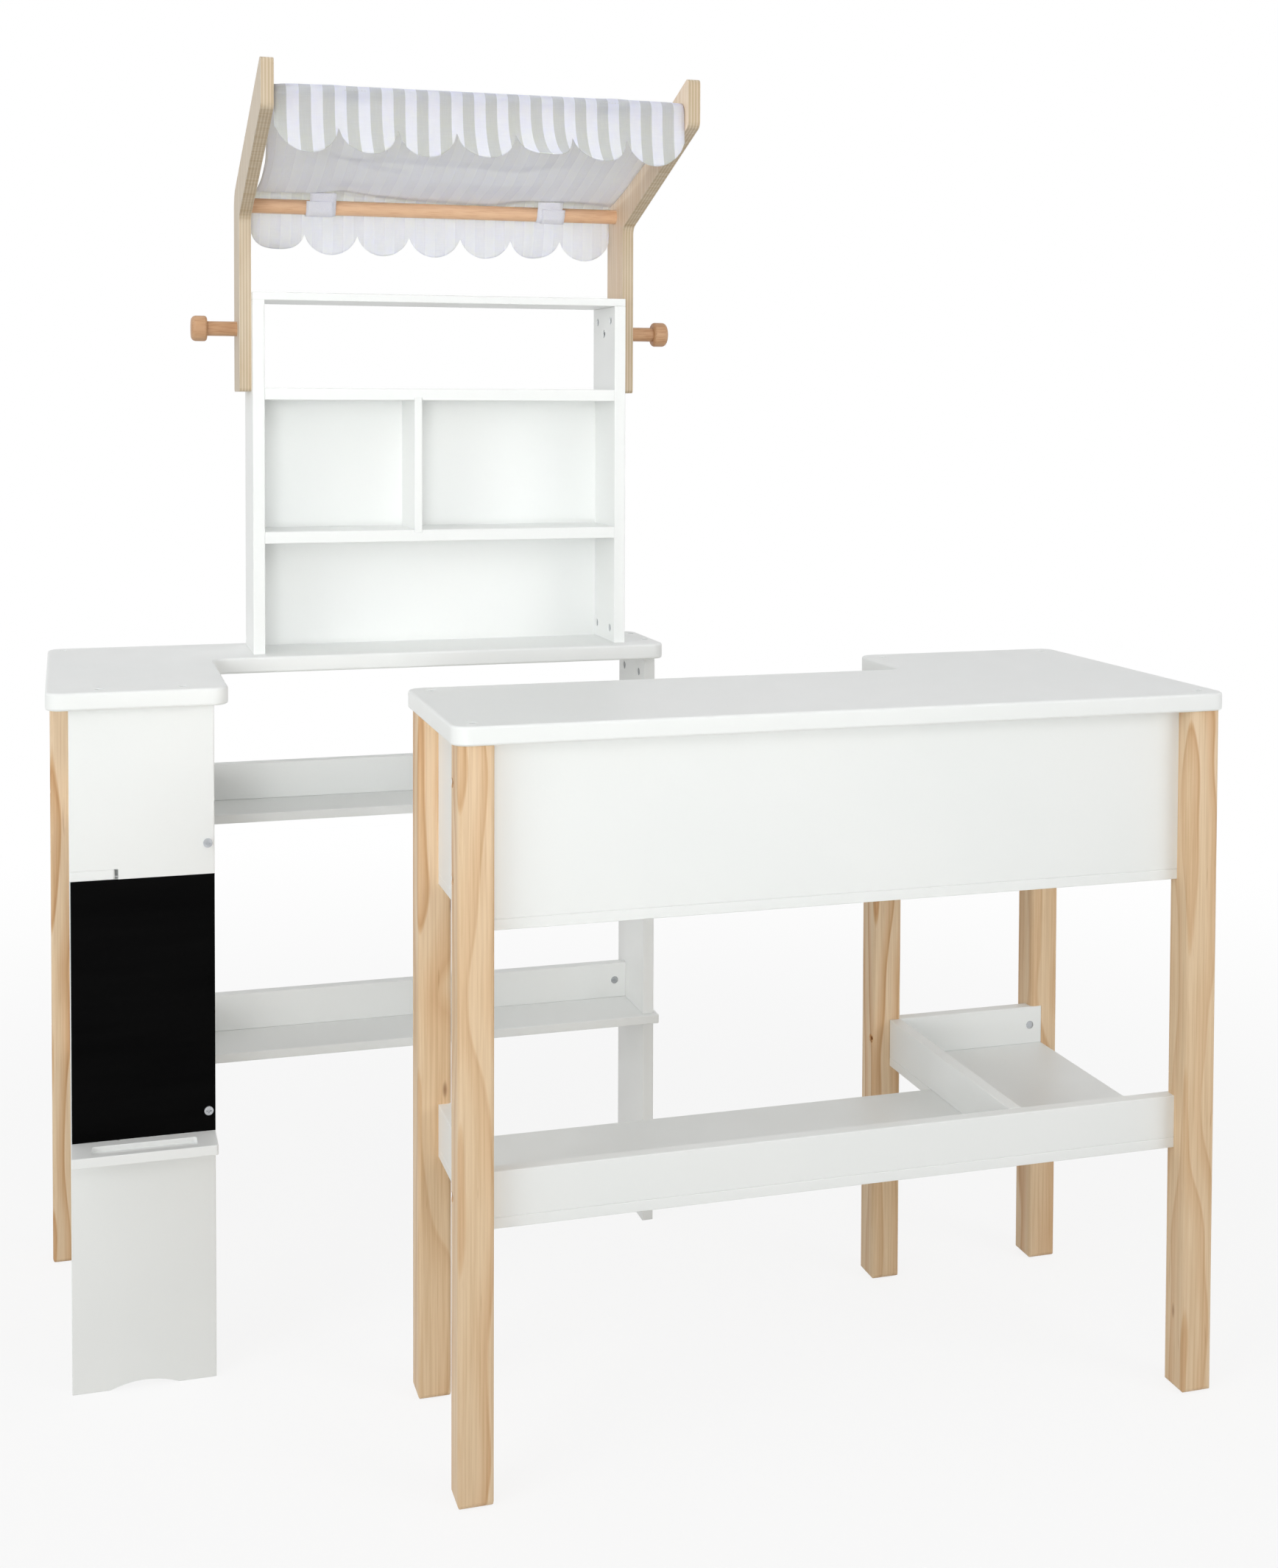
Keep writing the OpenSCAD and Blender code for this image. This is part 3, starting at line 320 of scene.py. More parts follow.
# %% Yearly rings of pine
RING, RING_BEND = 0.0165, 0.088
ACROSS_TRUNK = (0.62, 0.78, 0.012)
BENDS, STRONG_YEARS = (9, 9, 3.0), (8, 8, 1.5)
WEAK_AT, STRONG_AT, WEAK_SHARE = 0.33, 0.62, 0.35
pine, tree, shader, point = start_finish("pine")
bend = spots(tree, point, BENDS, detail=1.8)
across = put(tree, "VectorMath", {0: point, 1: ACROSS_TRUNK}, operation="DOT_PRODUCT").outputs["Value"]
bent = reckon(tree, "MULTIPLY_ADD", bend, RING_BEND, across)
ring = reckon(tree, "FRACT", reckon(tree, "DIVIDE", bent, RING))
year = colours(
    tree, ring,
    (0.0, linear(241, 215, 183)), (0.34, linear(239, 212, 178)), (0.60, linear(231, 197, 159)),
    (0.80, linear(222, 183, 141)), (0.90, linear(208, 162, 117)), (0.945, linear(221, 183, 140)),
    (1.0, linear(241, 215, 183)),
)
strength = spots(tree, point, STRONG_YEARS, detail=1)
strong = between(tree, strength, WEAK_AT, STRONG_AT, WEAK_SHARE, 1.0)
banded = mixed(tree, strong, linear(234, 205, 168), year)
print("rings of", RING * 1000, "mm")

# %% Fibres, pores and knots of pine
FIBRES, PORES, KNOTS = (520, 520, 9), (230, 230, 14), (17, 17, 5)
FIBRE_SHARE, FIBRE_HEIGHT = 0.75, 0.00012
PORE_FROM, PORE_FULL, PORE_SHARE = 0.68, 0.76, 0.45
KNOT_SHIFT, KNOT_CORE, KNOT_RIM, KNOT_SHARE = (0.3, 0.1, 0.4), 0.015, 0.055, 0.8
fibre = spots(tree, point, FIBRES, detail=3, roughness=0.6)
fibres = tones(tree, fibre, (234, 224, 210), (255, 255, 255), end=0.60)
fine = mixed(tree, FIBRE_SHARE, banded, fibres, "MULTIPLY")
pore = spots(tree, point, PORES, detail=2)
pore_share = between(tree, pore, PORE_FROM, PORE_FULL, 0.0, PORE_SHARE)
pored = mixed(tree, pore_share, fine, linear(186, 140, 96))
knot_place = put(tree, "Mapping", {"Vector": point, "Location": KNOT_SHIFT, "Scale": KNOTS}).outputs[0]
knot = put(tree, "TexVoronoi", {"Vector": knot_place, "Scale": 1.0, "Randomness": 1.0}).outputs["Distance"]
knot_share = between(tree, knot, KNOT_CORE, KNOT_RIM, KNOT_SHARE, 0.0)
plug(tree, shader, {
    "Base Color": mixed(tree, knot_share, pored, linear(140, 92, 58)),
    "Roughness": gloss(tree, fibre, 0.52, 0.40),
    "Specular IOR Level": 0.3,
    "Normal": bumped(tree, fibre, FIBRE_HEIGHT, 0.45),
})
print("made", pine.name)

# %% [markdown]
# ## Beech
# The awning dowels and the hanging pegs are turned from beech: an even pinkish tan with short darker
# flecks along the grain. The dowels get a paler, calmer copy, whose lighter tan is painted light that
# makes up for the shade the awning casts on them. The flecks all lie along X, so noise that is stretched
# along X and squeezed across it is enough, with a slower noise for the change from one place to the next.

# %% Beech
FLECKS, SLOW_CHANGE = (55, 950, 950), (6, 90, 90)
FLECK_FULL, FLECK_NONE, FLECK_HEIGHT = 0.34, 0.5, 0.0001


def turned_beech(name, darker, lighter, fleck_share):
    """Beech: a slow noise between two tans, multiplied by a share of short flecks along X."""
    made, tree, shader, point = start_finish(name)
    fleck = spots(tree, point, FLECKS, detail=2)
    ground = tones(tree, spots(tree, point, SLOW_CHANGE, detail=2), darker, lighter)
    flecks = tones(tree, fleck, (226, 206, 190), (255, 255, 255), FLECK_FULL, FLECK_NONE)
    plug(tree, shader, {
        "Base Color": mixed(tree, fleck_share, ground, flecks, "MULTIPLY"),
        "Roughness": gloss(tree, fleck, 0.50, 0.40),
        "Normal": bumped(tree, fleck, FLECK_HEIGHT, 0.4),
    })
    return made


beech = turned_beech("beech", (193, 150, 112), (203, 162, 125), 0.8)
# The dowels' paler, calmer tan is painted light: it makes up for the shade the awning casts on them.
painted_light_beech = turned_beech("painted_light_beech", (235, 192, 153), (243, 202, 164), 0.45)
print("made", beech.name, "and", painted_light_beech.name)

# %% [markdown]
# ## Birch plywood
# The two arms are cut from birch plywood. Their broad faces are one pale sheet of veneer with fine
# upright grain, and their narrow edges show the stack of plies, light and brown by turns. As the plies lie
# one beside the other along X, a colour that repeats along X gives both at once, and the left face of each
# arm falls in the middle of a pale ply if a whole number of pairs fits between the two. The sheet outside
# on the left arm is a shade greyer than the others. A Bevel node takes the sharpness off the sawn edges.

# %% Plies of birch
PLY_PAIRS_APART = 135
SHEET_START, SHEET_END, SHEET_SHARE = 0.0002, 0.0006, 0.8
left_face, right_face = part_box("left_arm")[0][0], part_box("right_arm")[0][0]
ply_pair = (right_face - left_face) / PLY_PAIRS_APART
plywood, tree, shader, point = start_finish("birch_plywood")
x = put(tree, "SeparateXYZ", {0: point}).outputs["X"]
stack = reckon(tree, "FRACT", reckon(tree, "DIVIDE", reckon(tree, "SUBTRACT", x, left_face), ply_pair))
plies = colours(
    tree, stack,
    (0.0, linear(240, 220, 196)), (0.05, linear(212, 197, 174)), (0.29, linear(211, 196, 173)),
    (0.33, linear(184, 158, 127)), (0.38, linear(203, 184, 156)), (0.62, linear(201, 182, 154)),
    (0.67, linear(182, 156, 125)), (0.71, linear(211, 196, 173)), (0.95, linear(212, 197, 174)),
    (1.0, linear(240, 220, 196)),
)
outer_sheet = between(tree, x, left_face + SHEET_START, left_face + SHEET_END, SHEET_SHARE, 0.0)
sheets = mixed(tree, outer_sheet, plies, linear(206, 195, 178))
print("plies of", round(ply_pair / 2 * 1000, 2), "mm")

# %% Veneer of birch
VENEER, VENEER_SHARE = (30, 300, 7), 0.85
VENEER_HEIGHT, EDGE_RADIUS = 0.0001, 0.0008
veneer = spots(tree, point, VENEER, detail=3, roughness=0.6)
grain = tones(tree, veneer, (236, 226, 210), (255, 255, 255), end=0.62)
soft_edge = put(tree, "Bevel", {"Radius": EDGE_RADIUS}, samples=4).outputs["Normal"]
plug(tree, shader, {
    "Base Color": mixed(tree, VENEER_SHARE, sheets, grain, "MULTIPLY"),
    "Roughness": gloss(tree, veneer, 0.58, 0.46),
    "Normal": bumped(tree, veneer, VENEER_HEIGHT, 0.4, soft_edge),
})
print("made", plywood.name)

# %% [markdown]
# ## Blackboard
# The writing surface is a thin black lacquer, matt and slightly toothed so that chalk takes. Straight
# black would look like a hole in the panel, so a thin haze of wiped chalk lies over it, in slanting wipes.

# %% Blackboard lacquer
BLACK, HAZY_BLACK = (0.0012, 0.0012, 0.0013, 1), (0.0034, 0.0034, 0.0035, 1)
WIPE_SLANT, WIPES, TOOTH = (0, 0.5, 0), (6, 6, 40), (1400, 1400, 1400)
TOOTH_HEIGHT = 0.00005
blackboard, tree, shader, point = start_finish("blackboard")
wipe_place = put(tree, "Mapping", {"Vector": point, "Rotation": WIPE_SLANT, "Scale": WIPES}).outputs[0]
wipe = put(tree, "TexNoise", {"Vector": wipe_place, "Scale": 1.0, "Detail": 4.0}).outputs["Fac"]
plug(tree, shader, {
    "Base Color": colours(tree, wipe, (0.35, BLACK), (0.75, HAZY_BLACK)),
    "Roughness": gloss(tree, wipe, 0.62, 0.74),
    "Specular IOR Level": 0.03,
    "Normal": bumped(tree, spots(tree, point, TOOTH, detail=1), TOOTH_HEIGHT, 0.5),
})
print("made", blackboard.name)

# %% [markdown]
# ## Metal
# Bolts, barrel nuts and screws are zinc-plated steel, grey and softly bright with a fine cloudy change of
# gloss. The bolts in the legs sit in recesses in the pine, and their plating is tinted orange-brown: painted
# shade of those recesses. The heads that show on the table tops are covered in the same white as the
# boards, so they get an enamel of their own that is a little glossier than the paint round them.

# %% Zinc and white enamel
PLATING, POOLS = (260, 260, 260), (300, 300, 300)
POOL_HEIGHT = 0.00005


def plated(name, darker, lighter):
    """Plated steel: a fine cloudy noise between two tones, which also changes the gloss."""
    made, tree, shader, point = start_finish(name)
    cloudy = spots(tree, point, PLATING, detail=3)
    plug(tree, shader, {
        "Base Color": tones(tree, cloudy, darker, lighter),
        "Roughness": gloss(tree, cloudy, 0.28, 0.42),
        "Metallic": 1.0,
    })
    return made


zinc = plated("zinc", (170, 173, 177), (194, 196, 199))
# The leg bolts' orange-brown is painted shade of the recesses in the pine round them.
recess_shade_zinc = plated("recess_shade_zinc", (190, 147, 98), (208, 168, 120))
white_enamel, tree, shader, point = start_finish("white_enamel")
pooled = spots(tree, point, POOLS, detail=2)
plug(tree, shader, {
    "Base Color": tones(tree, pooled, (236, 238, 238), (242, 243, 243)),
    "Roughness": gloss(tree, pooled, 0.20, 0.30),
    "Normal": bumped(tree, pooled, POOL_HEIGHT, 0.4),
})
print("made", zinc.name, "and", recess_shade_zinc.name, "and", white_enamel.name)

# %% [markdown]
# ## Dressing the boards, legs and bolts
# Each piece of the frame came with a stand-in material named for what it is made of. Swapping the
# material in that slot leaves the shape alone, so one table from name to finish dresses the whole stall,
# and a second one names the few pieces whose finish differs from the others of their kind.

# %% Give every frame piece its finish
finishes = {
    "white_paint": white_paint, "pine": pine, "beech": beech, "birch_plywood": plywood,
    "blackboard": blackboard, "zinc": zinc, "white_enamel": white_enamel,
}
special = {
    # The dowels take the paler beech: painted light for the awning's shade on them.
    "front_dowel": painted_light_beech, "rear_dowel": painted_light_beech,
    # The leg bolts' zinc is tinted orange-brown: painted shade of their recesses.
    "counter_rail_bolts": recess_shade_zinc, "shelf_rail_bolts": recess_shade_zinc,
}
dressed = {}
for name, piece in frame_pieces.items():
    for slot in piece.material_slots:
        made_of = slot.material.name.split(".")[0]
        if made_of in finishes:
            slot.material = special.get(name, finishes[made_of])
            dressed[name] = slot.material.name
print(len(dressed), "of", len(frame_pieces), "dressed; left:", sorted(set(frame_pieces) - set(dressed)))

# %% [markdown]
# ## The awning's cloth
# The awning is one strip of striped cotton, laid over the two dowels so that both ends hang down as a
# valance of seven scallops. It could be draped by simulation, but the cloth is short and pulled between
# its bands, so its shape is nearly all geometry: up the front, round the front dowel, down the slope with
# a slight sag and a fold line, round the rear dowel and down. Each column of the grid follows that
# path, and its two ends are cut to the scallop, then slow waves loosen it.

# %% Where the cloth runs
BAND_X = ((-0.242, -0.215), (-0.001, 0.026))
ROOM_FOR_BANDS = 0.0026


def stock_size(metres):
    """A measure of the frame rounded to a hundredth of a millimetre, five places of a metre."""
    return round(metres, 5)


def seen_from_end(name):
    """A dowel seen from its end: the middle of its box as (Y, Z), and half its height as the radius."""
    low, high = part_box(name)
    return np.array([(low[1] + high[1]) / 2, (low[2] + high[2]) / 2]), stock_size((high[2] - low[2]) / 2)


front_axis, dowel_r = seen_from_end("front_dowel")
rear_axis, _ = seen_from_end("rear_dowel")
cloth_r = dowel_r + ROOM_FOR_BANDS
cloth_left, cloth_right = (stock_size(corner[0]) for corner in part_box("awning"))
span = float(np.linalg.norm(rear_axis - front_axis))
slope = (rear_axis - front_axis) / span
outward = np.array([-slope[1], slope[0]])
crest = math.atan2(outward[1], outward[0])
print("span", round(span, 4), "m, crest at", round(math.degrees(crest), 1), "degrees")

# %% Columns and scallops
SCALLOPS, COLUMNS_EACH = 7, 20
EASE = 0.52
columns = np.linspace(cloth_left, cloth_right, SCALLOPS * COLUMNS_EACH + 1)
from_left, from_right = columns - cloth_left, cloth_right - columns
scallop_width = (cloth_right - cloth_left) / SCALLOPS
scallop_middle = cloth_left + scallop_width * (np.arange(SCALLOPS) + 0.5)


def scallop_lift(rise):
    """How far each column's edge lies above its scallop's lowest point: circle arcs that meet in cusps."""
    off = np.abs(columns[:, None] - scallop_middle).min(axis=1).clip(0, scallop_width / 2)
    radius = (scallop_width ** 2 / 4 + rise ** 2) / (2 * rise)
    return radius - np.sqrt(radius ** 2 - off ** 2)


def bump_at(place, middle, half):
    """A smooth bump of height 1: e to the minus square of the distance from the middle in half widths."""
    return np.exp(-(((place - middle) / half) ** 2))


def eased(values):
    """One value for each column from one for each scallop: an average weighted by nearness."""
    near = bump_at(columns[:, None], scallop_middle, EASE * scallop_width)
    return near @ np.asarray(values) / near.sum(axis=1)


print(SCALLOPS, "scallops of", round(scallop_width, 4), "m")

# %% Shapes that loosen the cloth
def fade(distance, reach):
    """A share that falls away from an edge: e to the minus distance over reach."""
    return np.exp(-distance / reach)


def waves(x, *rows):
    """A sum of sines along X: each row is a height, a wavelength and the phase it starts with."""
    return sum(height * np.sin(2 * np.pi * x / length + phase) for height, length, phase in rows)


def smooth_line(places, values, half=5):
    """One value for each column from a few known ones: straight lines between them, then a running mean."""
    line = np.pad(np.interp(columns, places, values), half, mode="edge")
    return np.convolve(line, np.full(2 * half + 1, 1 / (2 * half + 1)), mode="valid")


def step_up(share, start, end):
    """A smooth step from 0 to 1: three squares less two cubes of the way between start and end."""
    way = ((share - start) / (end - start)).clip(0, 1)
    return way * way * (3 - 2 * way)


print("loosening shapes ready")

# %% Sag of the slope
SIDE_SAG, SIDE_SKEW, SIDE_SHARE = 0.0052, 1.36, 0.2
DEEP_AT = [0, 0.10, 0.20, 0.30, 0.38, 0.46, 0.545, 0.59, 0.68, 0.74, 0.82, 0.92, 1.0]
DEEP_MM = [0, 3.0, 6.5, 9.5, 10.8, 10.2, 6.3, 7.4, 7.5, 6.0, 3.5, 1.2, 0]
SOFTENED = (-0.012, -0.006, 0, 0.006, 0.012)
FOLD_WAVES = ((0.013, 0.21, 0.5), (0.008, 0.087, 2))
FOLD_ENDS = ((-1, 0.19, 0.30, 0.13), (1, -0.03, 0.08, 0.07))
BELLY_LEFT, BELLY_MOVES, BELLY_EDGE, BELLY_RIGHT = -0.26, 0.06, 0.06, 0.035
MOVES_FROM, MOVES_TO = 0.45, 0.65


def sag_at(share, x):
    """How far the slope lies below the line from dowel to dowel, at a share of the way and a place across.

    A skewed sine at the sides, and between the bands a deeper belly given by a few known depths along the
    way; the sharp change a little over half way is the line along which the cloth was folded. It wanders by
    two waves, and lies further back towards both sides.
    """
    side = SIDE_SAG * np.sin(np.pi * share ** SIDE_SKEW)
    ends = sum(by * step_up(way_out * x, start, end) for way_out, start, end, by in FOLD_ENDS)
    way = share + (waves(x, *FOLD_WAVES) - ends) * np.sin(np.pi * share)
    deep = sum(np.interp(way + off, DEEP_AT, DEEP_MM) for off in SOFTENED) / len(SOFTENED) / 1000
    left = BELLY_LEFT + BELLY_MOVES * step_up(share, MOVES_FROM, MOVES_TO)
    belly = step_up(x, left, left + BELLY_EDGE) * (1 - step_up(x, -BELLY_RIGHT, BELLY_RIGHT))
    return side + deep * (SIDE_SHARE + (1 - SIDE_SHARE) * belly)


print("deepest belly", max(DEEP_MM), "mm")

# %% How loosely the cloth lies on the dowels
TAUT = ((0.0007, -0.250, 0.010), (0.0008, 0.020, 0.014))
SNUG_LEFT, SNUG_RIGHT, SNUG_REACH = 0.0021, 0.0010, 0.006
RAISED_AT = [-0.300, -0.235, -0.204, -0.172, -0.129, -0.044, -0.027, 0.002, 0.028, 0.068, 0.084]
RAISED_BY = [0.0072, 0.0075, 0.0070, 0.0040, 0.0012, -0.0012, 0.0025, 0.0068, 0.0068, 0.0020, 0.0015]
taut = sum(by * bump_at(columns, middle, half) for by, middle, half in TAUT)
snug = SNUG_LEFT * fade(from_left, SNUG_REACH) + SNUG_RIGHT * fade(from_right, SNUG_REACH)
raised = smooth_line(RAISED_AT, RAISED_BY)
rear_path = (rear_axis[0], rear_axis[1] + raised)


def wrap(axis, start, end, rows):
    """Cloth round a dowel: an arc at the cloth's radius, fuller over a band, and snug at both sides."""
    share = np.linspace(0, 1, rows)[:, None]
    angle = start + (end - start) * share
    over = np.sin(np.pi * share).clip(0)
    radius = cloth_r + taut * over - snug * np.sqrt(over)
    return axis[0] + radius * np.cos(angle), axis[1] + radius * np.sin(angle)


print("the cloth lies up to", round(float(raised.max()) * 1000, 1), "mm above the rear dowel's snug height")

# %% Hanging ends of the cloth
CURL_POWER = 2.2
PUCKER, PUCKER_HALF = 0.0007, 0.013
DENT_DOWN, DENT_HALF = 0.006, 0.005
pucker = PUCKER * sum(bump_at(columns, (left + right_end) / 2, PUCKER_HALF) for left, right_end in BAND_X)


def valance(axis, side, length, drop, lift, rows):
    """Hanging end: it leaves the dowel straight down and turns outward by a power of the way it has gone.

    Steps of equal cloth are laid end to end along that direction, so no column stretches. At each band a
    small dent is drawn in just below the dowel.
    """
    share = (np.arange(rows - 1) + 0.5)[:, None] / (rows - 1)
    angle = eased(lift) * (share * length / drop) ** CURL_POWER
    step = length / (rows - 1)
    start = np.zeros((1, len(columns)))
    out = np.concatenate([start, np.cumsum(np.sin(angle) * step, axis=0)])
    down = np.concatenate([start, np.cumsum(np.cos(angle) * step, axis=0)])
    dent = pucker * bump_at(down, DENT_DOWN, DENT_HALF)
    return axis[0] + side * (cloth_r + out - dent), axis[1] - down


print("puckers of", round(float(pucker.max()) * 1000, 2), "mm")

# %% Slope of the cloth
LONG_RIPPLE, SHORT_RIPPLE, RIPPLE_TURN = (0.0007, 0.148, 1.0), (0.0004, 0.067), 4
RIPPLE_POWER = 1.5
EDGE_DROP, EDGE_REACH = 0.0022, 0.009
HELD_UP, HELD_AT, HELD_HALF = 0.0045, (-0.208, 0.90), (0.022, 0.09)
DIP, DIP_AT, DIP_HALF = 0.08, 0.915, 0.030
LEFT_IN, RIGHT_IN, IN_REACH = 0.0042, 0.0025, 0.045


def run(rows):
    """Cloth on the slope: the straight line between the dowels, less the sag, with slow crosswise waves.

    Near the rear it is held up beside the left band; its last part dips a little and then climbs to the
    height at which the cloth crosses the rear dowel.
    """
    share = np.linspace(0, 1, rows)[:, None]
    ripple = waves(columns, LONG_RIPPLE, (*SHORT_RIPPLE, RIPPLE_TURN * share))
    edge = EDGE_DROP * (fade(from_left, EDGE_REACH) + fade(from_right, EDGE_REACH))
    held_up = HELD_UP * bump_at(columns, HELD_AT[0], HELD_HALF[0]) * bump_at(share, HELD_AT[1], HELD_HALF[1])
    dip = DIP * raised.clip(0) * bump_at(share, DIP_AT, DIP_HALF)
    lift = cloth_r - sag_at(share, columns) - dip + held_up
    lift = lift + np.sin(np.pi * share) ** RIPPLE_POWER * (ripple - edge)
    y = front_axis[0] + slope[0] * span * share + outward[0] * lift
    z = front_axis[1] + slope[1] * span * share + outward[1] * lift + raised * step_up(share, DIP_AT, 1.0)
    return y, z


def drawn_in(rows):
    """How far the slope's sides are drawn in: most towards the rear, and fading away from each side."""
    share = np.linspace(0, 1, rows)[:, None]
    inward = LEFT_IN * fade(from_left, IN_REACH) - RIGHT_IN * fade(from_right, IN_REACH)
    return np.sin(np.pi * share ** 2) * inward


print("sides drawn in by", LEFT_IN * 1000, "and", RIGHT_IN * 1000, "mm")

# %% The cloth as one grid of points
FRONT_DROP, FRONT_RISE = 0.053, 0.0235
REAR_DROP, REAR_RISE = 0.0475, 0.0205
FRONT_LIFT = np.radians([14, 24, 6, 30, 66, 40, 8])
REAR_LIFT = np.radians([50, 6, 14, 9, 4, 34, 5])
FRONT_ROWS, FRONT_OVER_ROWS, SLOPE_ROWS, REAR_OVER_ROWS, REAR_ROWS = 26, 16, 100, 12, 24
front_length = FRONT_DROP - scallop_lift(FRONT_RISE)
rear_length = REAR_DROP - scallop_lift(REAR_RISE) + raised
front_end = valance(front_axis, -1, front_length, FRONT_DROP, FRONT_LIFT, FRONT_ROWS)
rest_of_path = (
    wrap(front_axis, math.pi, crest, FRONT_OVER_ROWS),
    run(SLOPE_ROWS),
    wrap(rear_path, crest, 0.0, REAR_OVER_ROWS),
    valance(rear_path, 1, rear_length, REAR_DROP, REAR_LIFT, REAR_ROWS),
)
cloth_y, cloth_z = (
    np.concatenate([front_end[k][::-1], *(part[k][1:] for part in rest_of_path)]) for k in (0, 1)
)
print("cloth grid", cloth_y.shape)

# %% Sideways places of the cloth
FRONT_SWAY = np.array([0.0017, 0.0028, 0.0006, 0.0032, 0.0065, 0.0034, 0.0016])
SWAY_POWER = 2.4
FLARE, FLARE_REACH, FLARE_ENDS = 0.0032, 0.005, (20, 58)
flat_x = np.broadcast_to(columns, cloth_y.shape)
cloth_x = flat_x.copy()
slope_start = FRONT_ROWS + FRONT_OVER_ROWS - 1
rear_start = slope_start + SLOPE_ROWS - 1
cloth_x[slope_start:rear_start] += drawn_in(SLOPE_ROWS)[1:]
hung = np.linspace(1, 0, FRONT_ROWS)[:, None] * front_length / FRONT_DROP
cloth_x[:FRONT_ROWS] += eased(FRONT_SWAY) * hung ** SWAY_POWER
rows_up_slope = np.arange(len(cloth_x))[:, None] - slope_start
flare = FLARE * (fade(from_right, FLARE_REACH) - fade(from_left, FLARE_REACH))
cloth_x += flare * (1 - step_up(rows_up_slope, *FLARE_ENDS))
cloth_points = np.stack([cloth_x, cloth_y, cloth_z], axis=-1)
print("the slope starts at row", slope_start, "and ends at row", rear_start)

# %% [markdown]
# ## Striped cotton
# The cloth is white cotton printed with pale grey-green stripes of about eleven millimetres. The stripes
# follow the cloth, not the room, so they read the cloth's own UV map, which is laid out in metres: across
# and along. A sine of the place across switches between print and bare cloth, and two finer sines make
# the weave. On the back the print shows through only faintly, so the back has a paler pair of colours.
# Thin cotton lets light through: subsurface scattering carries it from one side to the other, further
# from the back than from the printed side, and red further than blue, which keeps the white cool.

# %% Striped cotton
STRIPE, FIRST_STRIPE, STRIPE_BLUR = 0.01077, 0.0087, 0.10
SLUBS, SLUB_SPAN = ((900, 60, 1), (60, 900, 1)), (0.15, 0.38)
THREAD_PITCH, WEAVE_SHARE, WEAVE_HEIGHT = 0.0007, 0.35, 0.00022


def cotton(name, print_tones, bare_tones, reach, reach_of):
    """Cotton: stripes from the sine of the place across, slubs from long noise, weave from two sines."""
    made, tree, shader, _ = start_finish(name)
    place = put(tree, "UVMap", uv_map="UVMap").outputs["UV"]
    axes = put(tree, "SeparateXYZ", {0: place}).outputs
    phase = reckon(tree, "DIVIDE", reckon(tree, "SUBTRACT", axes["X"], FIRST_STRIPE), STRIPE / math.pi)
    bare_share = between(tree, reckon(tree, "SINE", phase), -STRIPE_BLUR, STRIPE_BLUR)
    uneven = reckon(tree, "MULTIPLY", *(spots(tree, place, stretch, detail=2) for stretch in SLUBS))
    printed, bare = (tones(tree, uneven, *pair, *SLUB_SPAN) for pair in (print_tones, bare_tones))
    turns = (reckon(tree, "MULTIPLY", axes[way], 2 * math.pi / THREAD_PITCH) for way in "XY")
    threads = reckon(tree, "MULTIPLY", *(reckon(tree, "SINE", turn) for turn in turns))
    weave = reckon(tree, "MULTIPLY_ADD", threads, WEAVE_SHARE, uneven)
    plug(tree, shader, {
        "Base Color": mixed(tree, bare_share, printed, bare),
        "Normal": bumped(tree, weave, WEAVE_HEIGHT, 0.5),
        "Roughness": 0.88, "Specular IOR Level": 0.2,
        "Sheen Weight": 0.65, "Sheen Roughness": 0.6, "Sheen Tint": (0.76, 0.79, 1.0, 1.0),
        "Subsurface Weight": 1.0, "Subsurface Radius": reach_of, "Subsurface Scale": reach,
    })
    return made


striped_cotton = cotton(
    "striped_cotton", ((192, 194, 193), (197, 199, 198)), ((236, 240, 252), (240, 244, 255)),
    0.0032, (1.0, 1.0, 0.7),
)
cotton_back = cotton(
    "striped_cotton_back", ((227, 226, 234), (232, 231, 239)), ((251, 251, 255), (253, 253, 255)),
    0.009, (1.0, 0.97, 0.6),
)
print("stripe", STRIPE * 1000, "mm")

# %% Awning object
CLOTH_T = 0.0008


def thicken(piece, name, thickness):
    """Gives a sheet its thickness with a Solidify modifier, half of it to each side."""
    made = piece.modifiers.new(name, "SOLIDIFY")
    made.thickness, made.offset = thickness, 0.0
    return made


steps = np.linalg.norm(np.diff(cloth_points, axis=0), axis=-1)
run_up = np.concatenate([np.zeros((1, len(columns))), np.cumsum(steps, axis=0)])
column_lengths = run_up[-1]
flat_width, flat_length = cloth_right - cloth_left, float(column_lengths.max())
cloth_v = run_up - column_lengths / 2 + flat_length / 2
cloth_uv = np.stack([flat_x - cloth_left, cloth_v], axis=-1)
awning = surface("awning_cloth", cloth_points, striped_cotton, cloth_uv)
awning.data.materials.append(cotton_back)
thicken(awning, "cloth_thickness", CLOTH_T).material_offset = 1

# %% [markdown]
# ## Hook-and-loop bands
# Under the cloth, two bands hold it to each dowel. Each band is sewn on in two halves: one comes off
# the slope and passes the dowel, the other comes down inside the valance, goes under the dowel
# and closes over the first. A plain ring would hide that, so each half is drawn as a path round the dowel
# and a strip is carried along it.

# %% Woven tape
FUZZ, FUZZ_HEIGHT = (1500, 1500, 1500), 0.0003
band_tape, tree, shader, point = start_finish("hook_and_loop")
fuzz = spots(tree, point, FUZZ, detail=2)
plug(tree, shader, {
    "Base Color": tones(tree, fuzz, (236, 237, 246), (250, 250, 255)),
    "Normal": bumped(tree, fuzz, FUZZ_HEIGHT, 0.6),
    "Roughness": 0.9, "Specular IOR Level": 0.2,
    "Sheen Weight": 0.5, "Sheen Tint": (0.76, 0.78, 1.0, 1.0),
    "Subsurface Weight": 0.3, "Subsurface Radius": (1.0, 1.0, 0.7), "Subsurface Scale": 0.004,
})
print("made", band_tape.name)

